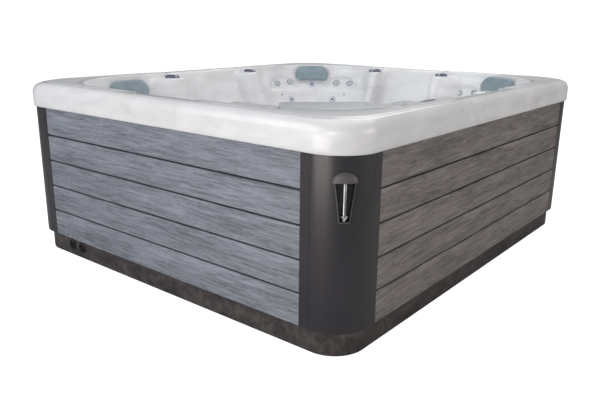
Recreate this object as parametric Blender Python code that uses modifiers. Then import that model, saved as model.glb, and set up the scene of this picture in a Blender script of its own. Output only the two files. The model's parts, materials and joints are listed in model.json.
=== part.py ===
"""Portable hot tub: a moulded acrylic shell on a frame, in a cabinet of board panels.

Metres, +Z up, origin at the bottom centre. X is the width and Y the depth. The service
panel, the pumps and the drain ports are on the -Y side, and the filter bay is in the
+X, -Y corner. Each sub-part is one object, and each moving piece has its origin on its
joint's axis.
"""
import math

import bmesh
import bpy
from mathutils import Matrix, Vector

# Overall size of the cabinet and the rim that laps over it
CABINET_X = 2.190
CABINET_Y = 2.504
HEIGHT = 0.950
HALF_X = CABINET_X / 2
HALF_Y = CABINET_Y / 2

# Heights of the cabinet's parts
PANEL_BOTTOM = 0.112
CABINET_TOP = 0.818
RIM_BOTTOM = 0.819
BOARD_PITCH = 0.140
BOARD_COUNT = 5

# Cabinet walls
PANEL_THICK = 0.018
PANEL_END = 0.218
GROOVE_WIDE = 0.007
GROOVE_DEEP = 0.006
PILLAR_RADIUS = 0.170
PILLAR_THICK = 0.004
BASE_INSET = 0.024
BASE_RADIUS = 0.150
BASE_WALL = 0.010
BASE_FLOOR = 0.012
BASE_TOP = 0.125

# Frame timbers
BEAM_OUTER = 0.040
BEAM_INNER = 0.090
BEAM_END = 0.136
POST_OUTER = 0.080
POST_INNER = 0.150
STUD_OFFSET = 0.470
STUD_WIDE = 0.050

# Shell
SHELL_THICK = 0.008
CORNER_STEPS = 6
RIDGE_FLAT = 0.045
RIDGE_SPREAD = 0.085
RIDGE_SPLAY = 0.10
RIDGE_SPLAY_LEVELS = (8, 14)
KNOB_INSET = 0.180
LEDGE_Z = 0.921

CLEARANCE = 0.0005
GAP = 0.0003

# The four sides run anticlockwise from +X. Each has the middle and the half-width of its
# side seat, in shares of the straight run of the shell's inner lip.
SIDE_SEATS = ((0.0, 0.50), (0.032, 0.557), (-0.023, 0.550), (0.0, 0.50))
FILTER_CORNER = 3
SEAT_CORNERS = {"back_right": 0, "back_left": 1, "front_left": 2}
# Distances round the wall from the corner's diagonal: each headrest's middle, and the neck
# jet and two lower jets under it. The front left seat faces across the tub.
HEADREST_SPOTS = {"back_right": 0.20, "back_left": -0.008, "front_left": -0.381}
SEAT_JETS = {"back_right": (0.20, 0.022, 0.378), "back_left": (-0.008, -0.178, 0.178),
             "front_left": (-0.350, -0.465, -0.166)}
CORNER_NAMES = ("back_right", "back_left", "front_left", "front_right")

# The shell's section from the foot of the rim to the floor of the footwell. Each level has
# its plan corner radius, then (inset from the cabinet's face, height) in a side seat, in a
# corner seat, on the ridge between two seats, and in the filter bay.
LEVELS = (
    (0.175, (-0.007, RIM_BOTTOM), (-0.007, RIM_BOTTOM), (-0.007, RIM_BOTTOM), (-0.007, RIM_BOTTOM)),
    (0.180, (-0.011, 0.827), (-0.011, 0.827), (-0.011, 0.827), (-0.011, 0.827)),
    (0.180, (-0.011, 0.892), (-0.011, 0.892), (-0.011, 0.892), (-0.011, 0.892)),
    (0.180, (-0.003, 0.922), (-0.003, 0.922), (-0.003, 0.922), (-0.003, 0.922)),
    (0.190, (0.016, 0.940), (0.016, 0.941), (0.016, 0.941), (0.016, 0.941)),
    (0.230, (0.044, 0.946), (0.044, 0.949), (0.044, 0.949), (0.044, 0.949)),
    (0.330, (0.064, 0.946), (0.075, HEIGHT), (0.075, HEIGHT), (0.075, HEIGHT)),
    (0.450, (0.086, 0.938), (0.105, 0.944), (0.105, 0.944), (0.105, 0.944)),
    (0.450, (0.100, 0.915), (0.109, 0.918), (0.118, LEDGE_Z), (0.118, LEDGE_Z)),
    (0.450, (0.122, 0.860), (0.125, 0.865), (0.226, 0.918), (0.300, LEDGE_Z)),
    (0.430, (0.160, 0.760), (0.165, 0.780), (0.280, 0.800), (0.314, 0.800)),
    (0.400, (0.235, 0.600), (0.240, 0.600), (0.345, 0.660), (0.332, 0.600)),
    (0.360, (0.315, 0.475), (0.330, 0.475), (0.430, 0.560), (0.370, 0.480)),
    (0.310, (0.460, 0.455), (0.470, 0.455), (0.530, 0.515), (0.470, 0.460)),
    (0.260, (0.595, 0.462), (0.600, 0.462), (0.600, 0.500), (0.600, 0.462)),
    (0.240, (0.632, 0.435), (0.635, 0.435), (0.636, 0.465), (0.635, 0.435)),
    (0.200, (0.672, 0.130), (0.672, 0.130), (0.672, 0.130), (0.672, 0.130)),
    (0.170, (0.715, 0.100), (0.715, 0.100), (0.715, 0.100), (0.715, 0.100)),
    (0.100, (0.900, 0.097), (0.900, 0.097), (0.900, 0.097), (0.900, 0.097)),
)
FLOOR_CENTRE_Z = 0.096
SIDE, CORNER, RIDGE, FILTER = 1, 2, 3, 4

# Hardware in the shell
JET_RADIUS = 0.025
JET_FLAT = 0.0205
JET_DISH = 0.0100
JET_NOZZLE = 0.0065
JET_BORE = 0.016
JET_PROUD = 0.004
JET_REACH = 0.055
JET_SIDES = 12
NECK_JET_Z = 0.800
LOWER_JET_Z = 0.690
HEADREST_WIDE = 0.290
HEADREST_TOP_WIDE = 0.216
HEADREST_FOOT_WIDE = 0.248
HEADREST_TALL = 0.117
HEADREST_ARCH = 0.019
HEADREST_THICK = 0.036
HEADREST_TOP = 0.943
HEADREST_SINK = {"back_right": 0.0, "back_left": 0.0, "front_left": 0.014}
HEADREST_LEAN = 0.30
HEADREST_STAND = 0.009
HEADREST_SOFT = 0.010
KNOB_RADIUS = 0.045
KNOB_TALL = 0.017
STEM_RADIUS = 0.009
STEM_LONG = 0.022
KEYPAD_INSET = 0.180
KEYPAD_Y = -0.332
KEYPAD_HALF_X = 0.034
KEYPAD_HALF_Y = 0.070
KEYPAD_ROUND = 0.020
KEYPAD_DEEP = 0.026
KEYPAD_PROUD = 0.006
BUTTON_RADIUS = 0.010
BUTTON_PITCH = 0.032
BUTTON_COUNT = 4
CAP_SPOT = (0.868, -0.535)
CAP_RADIUS = 0.029
CAP_TALL = 0.014
GRATE_RADIUS = 0.092
LENS_RADIUS = 0.056
LENS_SINK = 0.012

# Filter bay, measured inwards from the cabinet's virtual corner along the diagonal
LID_BACK = 0.363
LID_FRONT = 0.608
LID_HALF = 0.205
LID_THICK = 0.0225
BAY_BACK = 0.405
BAY_FRONT = 0.585
BAY_HALF = 0.168
BAY_BOTTOM = 0.520
WEIR_HALF = 0.075
WEIR_BOTTOM = 0.735
WEIR_TOP = 0.835
WEIR_AXIS = 0.612
WEIR_THICK = 0.005
WEIR_ROOM_X = 0.006
WEIR_ROOM_Z = 0.008
HOUSING_WALL = 0.005
CARTRIDGE_OFFSET = 0.082
CARTRIDGE_TALL = 0.335
CARTRIDGE_RADIUS = 0.064

# Corner light, on a pillar's diagonal: a tapering frame round a black recess, under a hood
LIGHT_MIDDLE_Z = 0.6625
LIGHT_TALL = 0.193
LIGHT_TOP_HALF = 0.040
LIGHT_FOOT_HALF = 0.021
LIGHT_PROUD = 0.010
LIGHT_DEEP = 0.022
LIGHT_FLOOR = 0.011
HOOD_RADIUS = 0.047
HOOD_DEEP = 0.026
HOOD_STEPS = 16
HOOD_SLOPE = 0.001
MOUTH_TOP_HALF = 0.0345
MOUTH_FOOT_HALF = 0.0165
MOUTH_SILL = 0.012
ROD_RADIUS = 0.0085
ROD_OUT = 0.001

# Equipment behind the front panel: places of the parts and their main sizes
PUMP_SPOTS = {"pump_1": (-0.300, -0.960), "pump_2": (0.500, -0.960)}
PUMP_AXIS_Z = 0.124
HEATER_SPOT = (0.10, -0.80, 0.350)
BOX_SIZE = (0.300, 0.105, 0.240)
BOX_SPOT = (0.66, -1.100, 0.345)
BOX_SOFT = 0.010
PRESSURE_PIPE = ((-0.80, -1.08, 0.330), (0.30, -1.08, 0.330))
PRESSURE_PIPE_RADIUS = 0.030
SUCTION_PIPE = ((-0.70, -0.74, 0.070), (0.70, -0.74, 0.070))
SUCTION_PIPE_RADIUS = 0.028
OZONE_SIZE = (0.150, 0.060, 0.100)
OZONE_SPOT = (-0.60, -1.130, 0.480)

# Drain ports through the base's front wall
DRAIN_SPOTS = {"drain_cap_left": (-0.765, 0.065), "drain_cap_right": (-0.675, 0.063)}
DRAIN_RADIUS = 0.031
DRAIN_NECK = 0.025
DRAIN_HOLE = 0.0262

PARTS = None
CUTTERS = None
MATERIALS = {}


def clear_scene():
    for item in list(bpy.data.objects):
        bpy.data.objects.remove(item, do_unlink=True)


def new_collection(name):
    found = bpy.data.collections.new(name)
    bpy.context.scene.collection.children.link(found)
    return found


def material(name, colour, roughness, metallic=0.0):
    if name not in MATERIALS:
        made = bpy.data.materials.new(name)
        made.use_nodes = True
        shader = made.node_tree.nodes["Principled BSDF"]
        shader.inputs["Base Color"].default_value = (*colour, 1.0)
        shader.inputs["Roughness"].default_value = roughness
        shader.inputs["Metallic"].default_value = metallic
        MATERIALS[name] = made
    return MATERIALS[name]


def acrylic():
    return material("acrylic", (0.80, 0.81, 0.83), 0.12)


def dark_plastic():
    return material("dark_plastic", (0.02, 0.02, 0.025), 0.45)


def chrome():
    return material("chrome", (0.75, 0.76, 0.78), 0.12, 1.0)


def grey_plastic():
    return material("grey_plastic", (0.42, 0.44, 0.47), 0.40)


def pipe_plastic():
    return material("pipe_plastic", (0.75, 0.75, 0.72), 0.45)


def board():
    return material("board", (0.19, 0.20, 0.22), 0.75)


def charcoal():
    return material("charcoal", (0.045, 0.04, 0.042), 0.38)


def place(name, mesh, finish, matrix=Matrix(), smooth=True):
    """Add a part's object to the parts collection."""
    item = bpy.data.objects.new(name, mesh)
    mesh.materials.clear()
    mesh.materials.append(finish)
    item.matrix_world = matrix
    PARTS.objects.link(item)
    if smooth:
        mesh.shade_smooth()
        mesh.set_sharp_from_angle(angle=math.radians(35))
    return item


def cutter(name, mesh, matrix=Matrix()):
    item = bpy.data.objects.new(name, mesh)
    item.matrix_world = matrix
    item.hide_render = True
    item.display_type = "WIRE"
    CUTTERS.objects.link(item)
    return item


def combine(item, tool, operation="DIFFERENCE"):
    change = item.modifiers.new(operation.lower(), "BOOLEAN")
    change.operation = operation
    change.object = tool
    change.solver = "EXACT"


def mesh_of(bm, name):
    mesh = bpy.data.meshes.new(name)
    bm.to_mesh(mesh)
    bm.free()
    return mesh


def box_mesh(name, size, centre=(0, 0, 0)):
    bm = bmesh.new()
    bmesh.ops.create_cube(bm, size=1.0, matrix=Matrix.Translation(centre) @ Matrix.Diagonal((*size, 1)))
    return mesh_of(bm, name)


def boxes_mesh(name, boxes):
    """One mesh of separate boxes, each given as (low corner, high corner)."""
    bm = bmesh.new()
    for low, high in boxes:
        centre = [(a + b) / 2 for a, b in zip(low, high)]
        size = [b - a for a, b in zip(low, high)]
        bmesh.ops.create_cube(bm, size=1.0, matrix=Matrix.Translation(centre) @ Matrix.Diagonal((*size, 1)))
    return mesh_of(bm, name)


def rod_mesh(name, radius, low, high, segments=16, top_radius=None):
    """A cylinder or cone along Z from low to high."""
    bm = bmesh.new()
    bmesh.ops.create_cone(bm, cap_ends=True, segments=segments, radius1=radius,
                          radius2=radius if top_radius is None else top_radius, depth=high - low,
                          matrix=Matrix.Translation((0, 0, (low + high) / 2)))
    return mesh_of(bm, name)


def turned(name, profile, finish, matrix=Matrix(), steps=20, closed=False):
    """A part turned about its own Z: profile is (radius, height), down its outer side."""
    mesh = bpy.data.meshes.new(name)
    edges = [(i, i + 1) for i in range(len(profile) - 1)]
    if closed:
        edges.append((len(profile) - 1, 0))
    mesh.from_pydata([(r, 0, z) for r, z in profile], edges, [])
    item = place(name, mesh, finish, matrix, smooth=False)
    screw = item.modifiers.new("turn", "SCREW")
    screw.steps = steps
    screw.render_steps = steps
    screw.use_merge_vertices = True
    screw.merge_threshold = 0.00001
    screw.use_smooth_shade = True
    return item


def outline_mesh(name, outline, thickness):
    """A flat outline in X and Y, extruded to both sides of Z = 0."""
    curve = bpy.data.curves.new(name, "CURVE")
    curve.dimensions = "2D"
    curve.fill_mode = "BOTH"
    curve.extrude = thickness / 2
    spline = curve.splines.new("POLY")
    spline.points.add(len(outline) - 1)
    for point, (x, y) in zip(spline.points, outline):
        point.co = (x, y, 0, 1)
    spline.use_cyclic_u = True
    holder = bpy.data.objects.new(name, curve)
    CUTTERS.objects.link(holder)
    evaluated = holder.evaluated_get(bpy.context.evaluated_depsgraph_get())
    mesh = bpy.data.meshes.new_from_object(evaluated)
    bpy.data.objects.remove(holder, do_unlink=True)
    bm = bmesh.new()
    bm.from_mesh(mesh)
    bmesh.ops.remove_doubles(bm, verts=bm.verts, dist=0.00001)
    bmesh.ops.recalc_face_normals(bm, faces=bm.faces)
    bm.to_mesh(mesh)
    bm.free()
    return mesh


def tube(name, points, radius, finish):
    """A pipe through the points, with filled ends."""
    curve = bpy.data.curves.new(name, "CURVE")
    curve.dimensions = "3D"
    curve.bevel_depth = radius
    curve.bevel_resolution = 2
    curve.use_fill_caps = True
    spline = curve.splines.new("POLY")
    spline.points.add(len(points) - 1)
    for point, spot in zip(spline.points, points):
        point.co = (*spot, 1)
    item = bpy.data.objects.new(name, curve)
    curve.materials.append(finish)
    PARTS.objects.link(item)
    return item


def arc(centre, radius, start, end, count):
    """Points on an arc, both ends included, with angles in degrees."""
    step = math.radians(end - start) / count
    angles = [math.radians(start) + step * i for i in range(count + 1)]
    return [(centre[0] + radius * math.cos(a), centre[1] + radius * math.sin(a)) for a in angles]


def rounded_outline(half_x, half_y, radius, count=5):
    points = []
    for quarter, (sx, sy) in enumerate(((1, 1), (-1, 1), (-1, -1), (1, -1))):
        centre = (sx * (half_x - radius), sy * (half_y - radius))
        points += arc(centre, radius, 90 * quarter, 90 * quarter + 90, count)
    return points


def frame_matrix(origin, x_axis, y_axis, z_axis):
    """A placement whose columns are the three given axes."""
    turn = Matrix((x_axis, y_axis, z_axis)).transposed().to_4x4()
    return Matrix.Translation(origin) @ turn


def corner_signs(corner):
    angle = math.radians(90 * corner + 45)
    return (1 if math.cos(angle) > 0 else -1, 1 if math.sin(angle) > 0 else -1)


# ---------------------------------------------------------------- shell surface

def ring_point(side, share, angle, inset, radius):
    """A point and its outward direction on a rounded rectangle inside the cabinet's face."""
    out = (Vector((1, 0)), Vector((0, 1)), Vector((-1, 0)), Vector((0, -1)))[side]
    along = Vector((-out.y, out.x))
    reach, half = (HALF_X, HALF_Y) if side % 2 == 0 else (HALF_Y, HALF_X)
    if angle is None:
        return out * (reach - inset) + along * (share * (half - inset - radius)), out
    turned_out = out * math.cos(angle) + along * math.sin(angle)
    middle = out * (reach - inset - radius) + along * (half - inset - radius)
    return middle + turned_out * radius, turned_out


def zone_weights(side, share, angle):
    """How much of each kind of section a station has: side, corner, ridge and filter."""
    if angle is not None:
        return {FILTER if side == FILTER_CORNER else CORNER: 1.0}
    middle, half = SIDE_SEATS[side]
    off = share - middle
    ridge = math.exp(-(max(0.0, abs(abs(off) - half) - RIDGE_FLAT) / RIDGE_SPREAD) ** 2)
    if abs(off) < half:
        other = SIDE
    else:
        corner = side if off > 0 else (side - 1) % 4
        other = FILTER if corner == FILTER_CORNER else CORNER
    return {RIDGE: ridge, other: 1.0 - ridge}


def share_at(side, share, level):
    """A station's share of the side at a level: the ridges splay as they run inwards."""
    middle, half = SIDE_SEATS[side]
    first, last = RIDGE_SPLAY_LEVELS
    wide = half * (1 + RIDGE_SPLAY * (min(max(level, first), last) - first))
    off = share - middle
    if abs(off) <= half:
        return middle + off * wide / half
    sign = math.copysign(1, off)
    edge = 1 - sign * middle
    return middle + sign * (wide + (edge - wide) * (abs(off) - half) / (edge - half))


def section(level, weights):
    inset = sum(LEVELS[level][kind][0] * share for kind, share in weights.items())
    height = sum(LEVELS[level][kind][1] * share for kind, share in weights.items())
    return inset, height


def stations():
    """The shell's stations round the plan: (side, share of the side, corner angle)."""
    found = []
    for side in range(4):
        middle, half = SIDE_SEATS[side]
        shares = [-1.0, (middle - half - RIDGE_FLAT - 1) / 2]
        shares += [middle - half - RIDGE_FLAT, middle - half + RIDGE_FLAT, middle - half / 2, middle]
        shares += [middle + half / 2, middle + half - RIDGE_FLAT, middle + half + RIDGE_FLAT]
        shares += [(middle + half + RIDGE_FLAT + 1) / 2]
        found += [(side, share, None) for share in shares]
        found += [(side, 1.0, math.pi / 2 * i / CORNER_STEPS) for i in range(CORNER_STEPS)]
    return found


def shell_point(side, share, angle, level):
    inset, height = section(level, zone_weights(side, share, angle))
    spot, out = ring_point(side, share_at(side, share, level), angle, inset, LEVELS[level][0])
    return Vector((spot.x, spot.y, height))


def wall_turn(along):
    """A distance round a corner seat's wall as an angle on its curve and a straight rest."""
    radius = LEVELS[8][0]
    angle = min(max(along / radius, -math.pi / 4), math.pi / 4)
    return math.pi / 4 + angle, along - angle * radius


def seat_wall(corner, along, height):
    """Point, inward normal and upward direction on a corner seat's backrest.

    along is measured round the wall from the corner's diagonal, anticlockwise.
    """
    angle, rest = wall_turn(along)
    out = ring_point(corner, 1.0, angle, 0.0, 0.1)[1]
    along = Vector((-out.y, out.x, 0))
    levels = [shell_point(corner, 1.0, angle, level) + along * rest for level in range(7, 13)]
    for low, high in zip(levels[1:], levels[:-1]):
        if low.z <= height <= high.z:
            share = (height - low.z) / (high.z - low.z)
            spot = low.lerp(high, share)
            up = (high - low).normalized()
            break
    normal = along.cross(up).normalized()
    if normal.dot(Vector((out.x, out.y, 0))) > 0:
        normal = -normal
    return spot, normal, up


def make_shell():
    bm = bmesh.new()
    rings = []
    for level in range(len(LEVELS)):
        rings.append([bm.verts.new(shell_point(*station, level)) for station in stations()])
    count = len(rings[0])
    for lower, upper in zip(rings[:-1], rings[1:]):
        for i in range(count):
            j = (i + 1) % count
            bm.faces.new((lower[i], lower[j], upper[j], upper[i]))
    centre = bm.verts.new((0, 0, FLOOR_CENTRE_Z))
    for i in range(count):
        bm.faces.new((rings[-1][i], rings[-1][(i + 1) % count], centre))
    shell = place("shell", mesh_of(bm, "shell"), acrylic())
    solid = shell.modifiers.new("thickness", "SOLIDIFY")
    solid.thickness = SHELL_THICK
    solid.offset = -1
    shell.modifiers.new("facets", "TRIANGULATE")
    return shell


# ---------------------------------------------------------------- cabinet

def make_base():
    outer = outline_mesh("base_pan", rounded_outline(HALF_X - BASE_INSET, HALF_Y - BASE_INSET,
                                                     BASE_RADIUS, 6), BASE_TOP)
    base = place("base_pan", outer, dark_plastic(), Matrix.Translation((0, 0, BASE_TOP / 2)))
    inset = BASE_INSET + BASE_WALL
    inner = outline_mesh("base_hollow", rounded_outline(HALF_X - inset, HALF_Y - inset,
                                                        BASE_RADIUS - BASE_WALL, 6), BASE_TOP)
    combine(base, cutter("base_hollow", inner, Matrix.Translation((0, 0, BASE_TOP / 2 + BASE_FLOOR))))
    return base


def make_frame():
    """Top and bottom rings of timber with corner posts and studs, joined into one piece."""
    beams, uprights = [], []
    for low, high in ((BASE_FLOOR + GAP, 0.062), (0.800, 0.860)):
        for sign in (-1, 1):
            edge = sorted((sign * (HALF_X - BEAM_OUTER), sign * (HALF_X - BEAM_INNER)))
            end = HALF_Y - BEAM_END
            beams.append(((edge[0], -end, low), (edge[1], end, high)))
            edge = sorted((sign * (HALF_Y - BEAM_OUTER), sign * (HALF_Y - BEAM_INNER)))
            end = HALF_X - BEAM_END
            beams.append(((-end, edge[0], low), (end, edge[1], high)))
    foot = BASE_FLOOR + GAP + 0.002
    for sx in (-1, 1):
        for sy in (-1, 1):
            xs = sorted((sx * (HALF_X - POST_OUTER), sx * (HALF_X - POST_INNER)))
            ys = sorted((sy * (HALF_Y - POST_OUTER), sy * (HALF_Y - POST_INNER)))
            uprights.append(((xs[0], ys[0], foot), (xs[1], ys[1], 0.895)))
            xs = sorted((sx * (HALF_X - BEAM_OUTER - 0.004), sx * (HALF_X - BEAM_INNER + 0.004)))
            middle = sy * STUD_OFFSET
            uprights.append(((xs[0], middle - STUD_WIDE / 2, 0.050), (xs[1], middle + STUD_WIDE / 2, 0.810)))
            ys = sorted((sy * (HALF_Y - BEAM_OUTER - 0.004), sy * (HALF_Y - BEAM_INNER + 0.004)))
            middle = sx * STUD_OFFSET
            uprights.append(((middle - STUD_WIDE / 2, ys[0], 0.050), (middle + STUD_WIDE / 2, ys[1], 0.810)))
    timber = material("timber", (0.55, 0.42, 0.27), 0.8)
    frame = place("support_frame", boxes_mesh("support_frame", beams), timber, smooth=False)
    combine(frame, cutter("frame_uprights", boxes_mesh("frame_uprights", uprights)), "UNION")


def panel_outline():
    """A panel's section, with depth in X and height in Y, grooved between its boards."""
    points = [(0, CABINET_TOP), (-PANEL_THICK, CABINET_TOP), (-PANEL_THICK, PANEL_BOTTOM), (0, PANEL_BOTTOM)]
    for index in range(1, BOARD_COUNT):
        middle = PANEL_BOTTOM + BOARD_PITCH * index
        half = GROOVE_WIDE / 2
        points += [(0, middle - half), (-GROOVE_DEEP, middle - half * 0.6),
                   (-GROOVE_DEEP, middle + half * 0.6), (0, middle + half)]
    return points


def make_panels():
    gap = 0.001
    for side, name in enumerate(("right_panel", "back_panel", "left_panel", "front_panel")):
        angle = math.radians(90 * side)
        out = Vector((math.cos(angle), math.sin(angle), 0))
        reach, half = (HALF_X, HALF_Y) if side % 2 == 0 else (HALF_Y, HALF_X)
        length = 2 * (half - PANEL_END - gap)
        up = Vector((0, 0, 1))
        matrix = frame_matrix(out * reach, out, up, out.cross(up))
        place(name, outline_mesh(name, panel_outline(), length), board(), matrix, smooth=False)


def pillar_outline():
    """A corner pillar's plan with its virtual corner at the origin, towards -X and -Y."""
    centre = (-PILLAR_RADIUS, -PILLAR_RADIUS)
    outer = [(0, -PANEL_END)] + arc(centre, PILLAR_RADIUS, 0, 90, 10) + [(-PANEL_END, 0)]
    inner = ([(-PANEL_END, -PILLAR_THICK)] + arc(centre, PILLAR_RADIUS - PILLAR_THICK, 90, 0, 10)
             + [(-PILLAR_THICK, -PANEL_END)])
    return outer + inner


def light_outline(grow):
    """A corner light's face: a half-round hood on sides that taper to the foot."""
    half = LIGHT_TALL / 2
    spring = half - HOOD_RADIUS
    radius = HOOD_RADIUS + grow
    start = -math.degrees(math.asin(grow / radius))
    crown = arc((0, spring), radius, start, 180 - start, 8)
    sides = [(LIGHT_TOP_HALF + grow, spring - HOOD_SLOPE - grow), (LIGHT_FOOT_HALF + grow, -half - grow)]
    return crown + [(-x, y) for x, y in sides] + sides[::-1]


def make_pillars():
    """Corner pillars. The one at the filter bay has a light let into its diagonal."""
    height = CABINET_TOP - PANEL_BOTTOM
    for corner, name in enumerate(CORNER_NAMES):
        sx, sy = corner_signs(corner)
        matrix = (Matrix.Translation((sx * HALF_X, sy * HALF_Y, (PANEL_BOTTOM + CABINET_TOP) / 2))
                  @ Matrix.Rotation(math.radians(90 * corner), 4, "Z"))
        pillar = place("pillar_" + name, outline_mesh("pillar_" + name, pillar_outline(), height),
                       charcoal(), matrix)
        if corner == FILTER_CORNER:
            make_corner_light(corner, name, pillar)


def hood_mesh(spring):
    """The upper half of an ellipsoid, cut flat against the light's frame."""
    bm = bmesh.new()
    half_step = Matrix.Rotation(math.pi / HOOD_STEPS, 4, "Z")
    stretch = Matrix.Diagonal((HOOD_RADIUS, HOOD_RADIUS, HOOD_DEEP, 1))
    bmesh.ops.create_uvsphere(bm, u_segments=HOOD_STEPS, v_segments=8, radius=1.0,
                              matrix=Matrix.Translation((0, spring, 0)) @ stretch @ half_step)
    for at, towards in (((0, 0, 0.001), (0, 0, 1)), ((0, spring, 0), (0, 1, 0))):
        cells = bm.verts[:] + bm.edges[:] + bm.faces[:]
        bmesh.ops.bisect_plane(bm, geom=cells, plane_co=at, plane_no=towards, clear_inner=True)
        bmesh.ops.holes_fill(bm, edges=[edge for edge in bm.edges if edge.is_boundary])
    bmesh.ops.recalc_face_normals(bm, faces=bm.faces)
    return mesh_of(bm, "light_hood")


def make_corner_light(corner, name, pillar):
    sx, sy = corner_signs(corner)
    out = Vector((sx, sy, 0)).normalized()
    up = Vector((0, 0, 1))
    face = PILLAR_RADIUS * (math.sqrt(2) - 1)
    origin = Vector((sx * HALF_X, sy * HALF_Y, LIGHT_MIDDLE_Z)) - out * face
    matrix = frame_matrix(origin, up.cross(out), up, out)
    spring = LIGHT_TALL / 2 - HOOD_RADIUS
    sill = MOUTH_SILL - LIGHT_TALL / 2

    body = outline_mesh("light_body", light_outline(0.0), LIGHT_PROUD + LIGHT_DEEP)
    shift = Matrix.Translation((0, 0, (LIGHT_PROUD - LIGHT_DEEP) / 2))
    housing = place("corner_light_" + name, body, charcoal(), matrix @ shift)
    combine(housing, cutter("light_hood_" + name, hood_mesh(spring), matrix), "UNION")
    mouth_top = spring - HOOD_SLOPE
    mouth = [(MOUTH_FOOT_HALF, sill), (MOUTH_TOP_HALF, mouth_top),
             (-MOUTH_TOP_HALF, mouth_top), (-MOUTH_FOOT_HALF, sill)]
    deep = LIGHT_FLOOR + HOOD_DEEP
    recess = outline_mesh("light_recess", mouth, deep)
    combine(housing, cutter("light_recess_" + name, recess,
                            matrix @ Matrix.Translation((0, 0, deep / 2 - LIGHT_FLOOR))))
    hole = outline_mesh("light_hole", light_outline(CLEARANCE), 4 * LIGHT_DEEP)
    combine(pillar, cutter("light_hole_" + name, hole, matrix))

    rod = rod_mesh("light_rod", ROD_RADIUS, sill + GAP, mouth_top - GAP, 14)
    place("corner_light_rod_" + name, rod, chrome(),
          matrix @ Matrix.Translation((0, 0, ROD_OUT)) @ Matrix.Rotation(math.radians(-90), 4, "X"))


def make_drain_caps(base):
    """Two turning drain ports through the front wall of the base."""
    face = HALF_Y - BASE_INSET
    for name, (x, z) in DRAIN_SPOTS.items():
        matrix = Matrix.Translation((x, -face, z)) @ Matrix.Rotation(math.radians(90), 4, "X")
        profile = [(0, -0.002), (0.020, -0.002), (0.024, 0.006), (0.029, 0.006), (DRAIN_RADIUS, CLEARANCE),
                   (DRAIN_NECK, CLEARANCE), (DRAIN_NECK, -0.014), (0, -0.014)]
        turned(name, profile, dark_plastic(), matrix, steps=18)
        hole = rod_mesh("drain_hole", DRAIN_HOLE, -0.05, 0.05, 18)
        combine(base, cutter(name + "_hole", hole, matrix))


# ---------------------------------------------------------------- hardware in the shell

def jet_profile():
    """A jet face: a dished flange with a nozzle body behind it."""
    return [(0, -JET_PROUD), (JET_NOZZLE, -JET_PROUD), (JET_DISH, JET_PROUD), (JET_FLAT, JET_PROUD),
            (JET_RADIUS, 0.0), (JET_BORE, 0.0), (JET_BORE, -JET_REACH), (0, -JET_REACH)]


def make_jet(name, shell, corner, along, height):
    spot, normal, up = seat_wall(corner, along, height)
    matrix = frame_matrix(spot, up.cross(normal), up, normal)
    turned(name, jet_profile(), chrome(), matrix, steps=JET_SIDES)
    bm = bmesh.new()
    reach = 0.020
    flat_to_corner = 1 / math.cos(math.pi / JET_SIDES)
    seat = (JET_RADIUS + CLEARANCE) * flat_to_corner
    bmesh.ops.create_cone(bm, cap_ends=True, segments=JET_SIDES, radius1=seat, radius2=seat, depth=reach,
                          matrix=Matrix.Translation((0, 0, reach / 2 - CLEARANCE)))
    combine(shell, cutter(name + "_seat", mesh_of(bm, "jet_seat"), matrix))
    bore = rod_mesh("jet_bore", (JET_BORE + CLEARANCE) * flat_to_corner, -JET_REACH, 0.01, JET_SIDES)
    combine(shell, cutter(name + "_bore", bore, matrix))


def make_jets(shell):
    for name, corner in SEAT_CORNERS.items():
        neck, first, second = SEAT_JETS[name]
        make_jet("jet_neck_" + name, shell, corner, neck, NECK_JET_Z)
        make_jet("jet_lower_1_" + name, shell, corner, first, LOWER_JET_Z)
        make_jet("jet_lower_2_" + name, shell, corner, second, LOWER_JET_Z)


def make_headrest(name, corner):
    """A pillow bent to the wall's curve, leaning back along the top of the backrest.

    It is widest half-way down, and its lower edge is arched over the neck jet.
    """
    def wall_plan(along):
        angle, rest = wall_turn(along)
        spot, out = ring_point(corner, 1.0, angle, LEVELS[8][CORNER][0], LEVELS[8][0])
        return spot + Vector((-out.y, out.x)) * rest, out

    middle, out = wall_plan(HEADREST_SPOTS[name])
    matrix = frame_matrix(Vector((middle.x, middle.y, HEADREST_TOP)), Vector((out.y, -out.x, 0)),
                          Vector((out.x, out.y, 0)), Vector((0, 0, 1)))
    to_local = matrix.inverted()
    bm = bmesh.new()
    bmesh.ops.create_cube(bm, size=1.0)
    long_edges = [edge for edge in bm.edges if abs(edge.verts[0].co.x - edge.verts[1].co.x) > 0.5]
    bmesh.ops.subdivide_edges(bm, edges=long_edges, cuts=5)
    tall_edges = [edge for edge in bm.edges if abs(edge.verts[0].co.z - edge.verts[1].co.z) > 0.5]
    bmesh.ops.subdivide_edges(bm, edges=tall_edges, cuts=1, use_grid_fill=True)
    for vert in bm.verts:
        edge_wide = HEADREST_TOP_WIDE if vert.co.z > 0 else HEADREST_FOOT_WIDE
        wide = HEADREST_WIDE + (edge_wide - HEADREST_WIDE) * abs(vert.co.z) * 2
        arch = HEADREST_ARCH * (1 - (2 * vert.co.x) ** 2) * (0.5 - vert.co.z)
        drop = HEADREST_SINK[name] + (0.5 - vert.co.z) * HEADREST_TALL - arch
        stand = HEADREST_STAND + drop * HEADREST_LEAN + (0.5 - vert.co.y) * HEADREST_THICK
        spot, out = wall_plan(HEADREST_SPOTS[name] - vert.co.x * wide)
        spot = spot - out * stand
        vert.co = to_local @ Vector((spot.x, spot.y, HEADREST_TOP - drop))
    item = place("headrest_" + name, mesh_of(bm, "headrest"), material("headrest", (0.22, 0.30, 0.38), 0.6),
                 matrix)
    soft = item.modifiers.new("round", "BEVEL")
    soft.width = HEADREST_SOFT
    soft.segments = 1
    soft.limit_method = "ANGLE"
    soft.angle_limit = math.radians(40)


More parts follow.
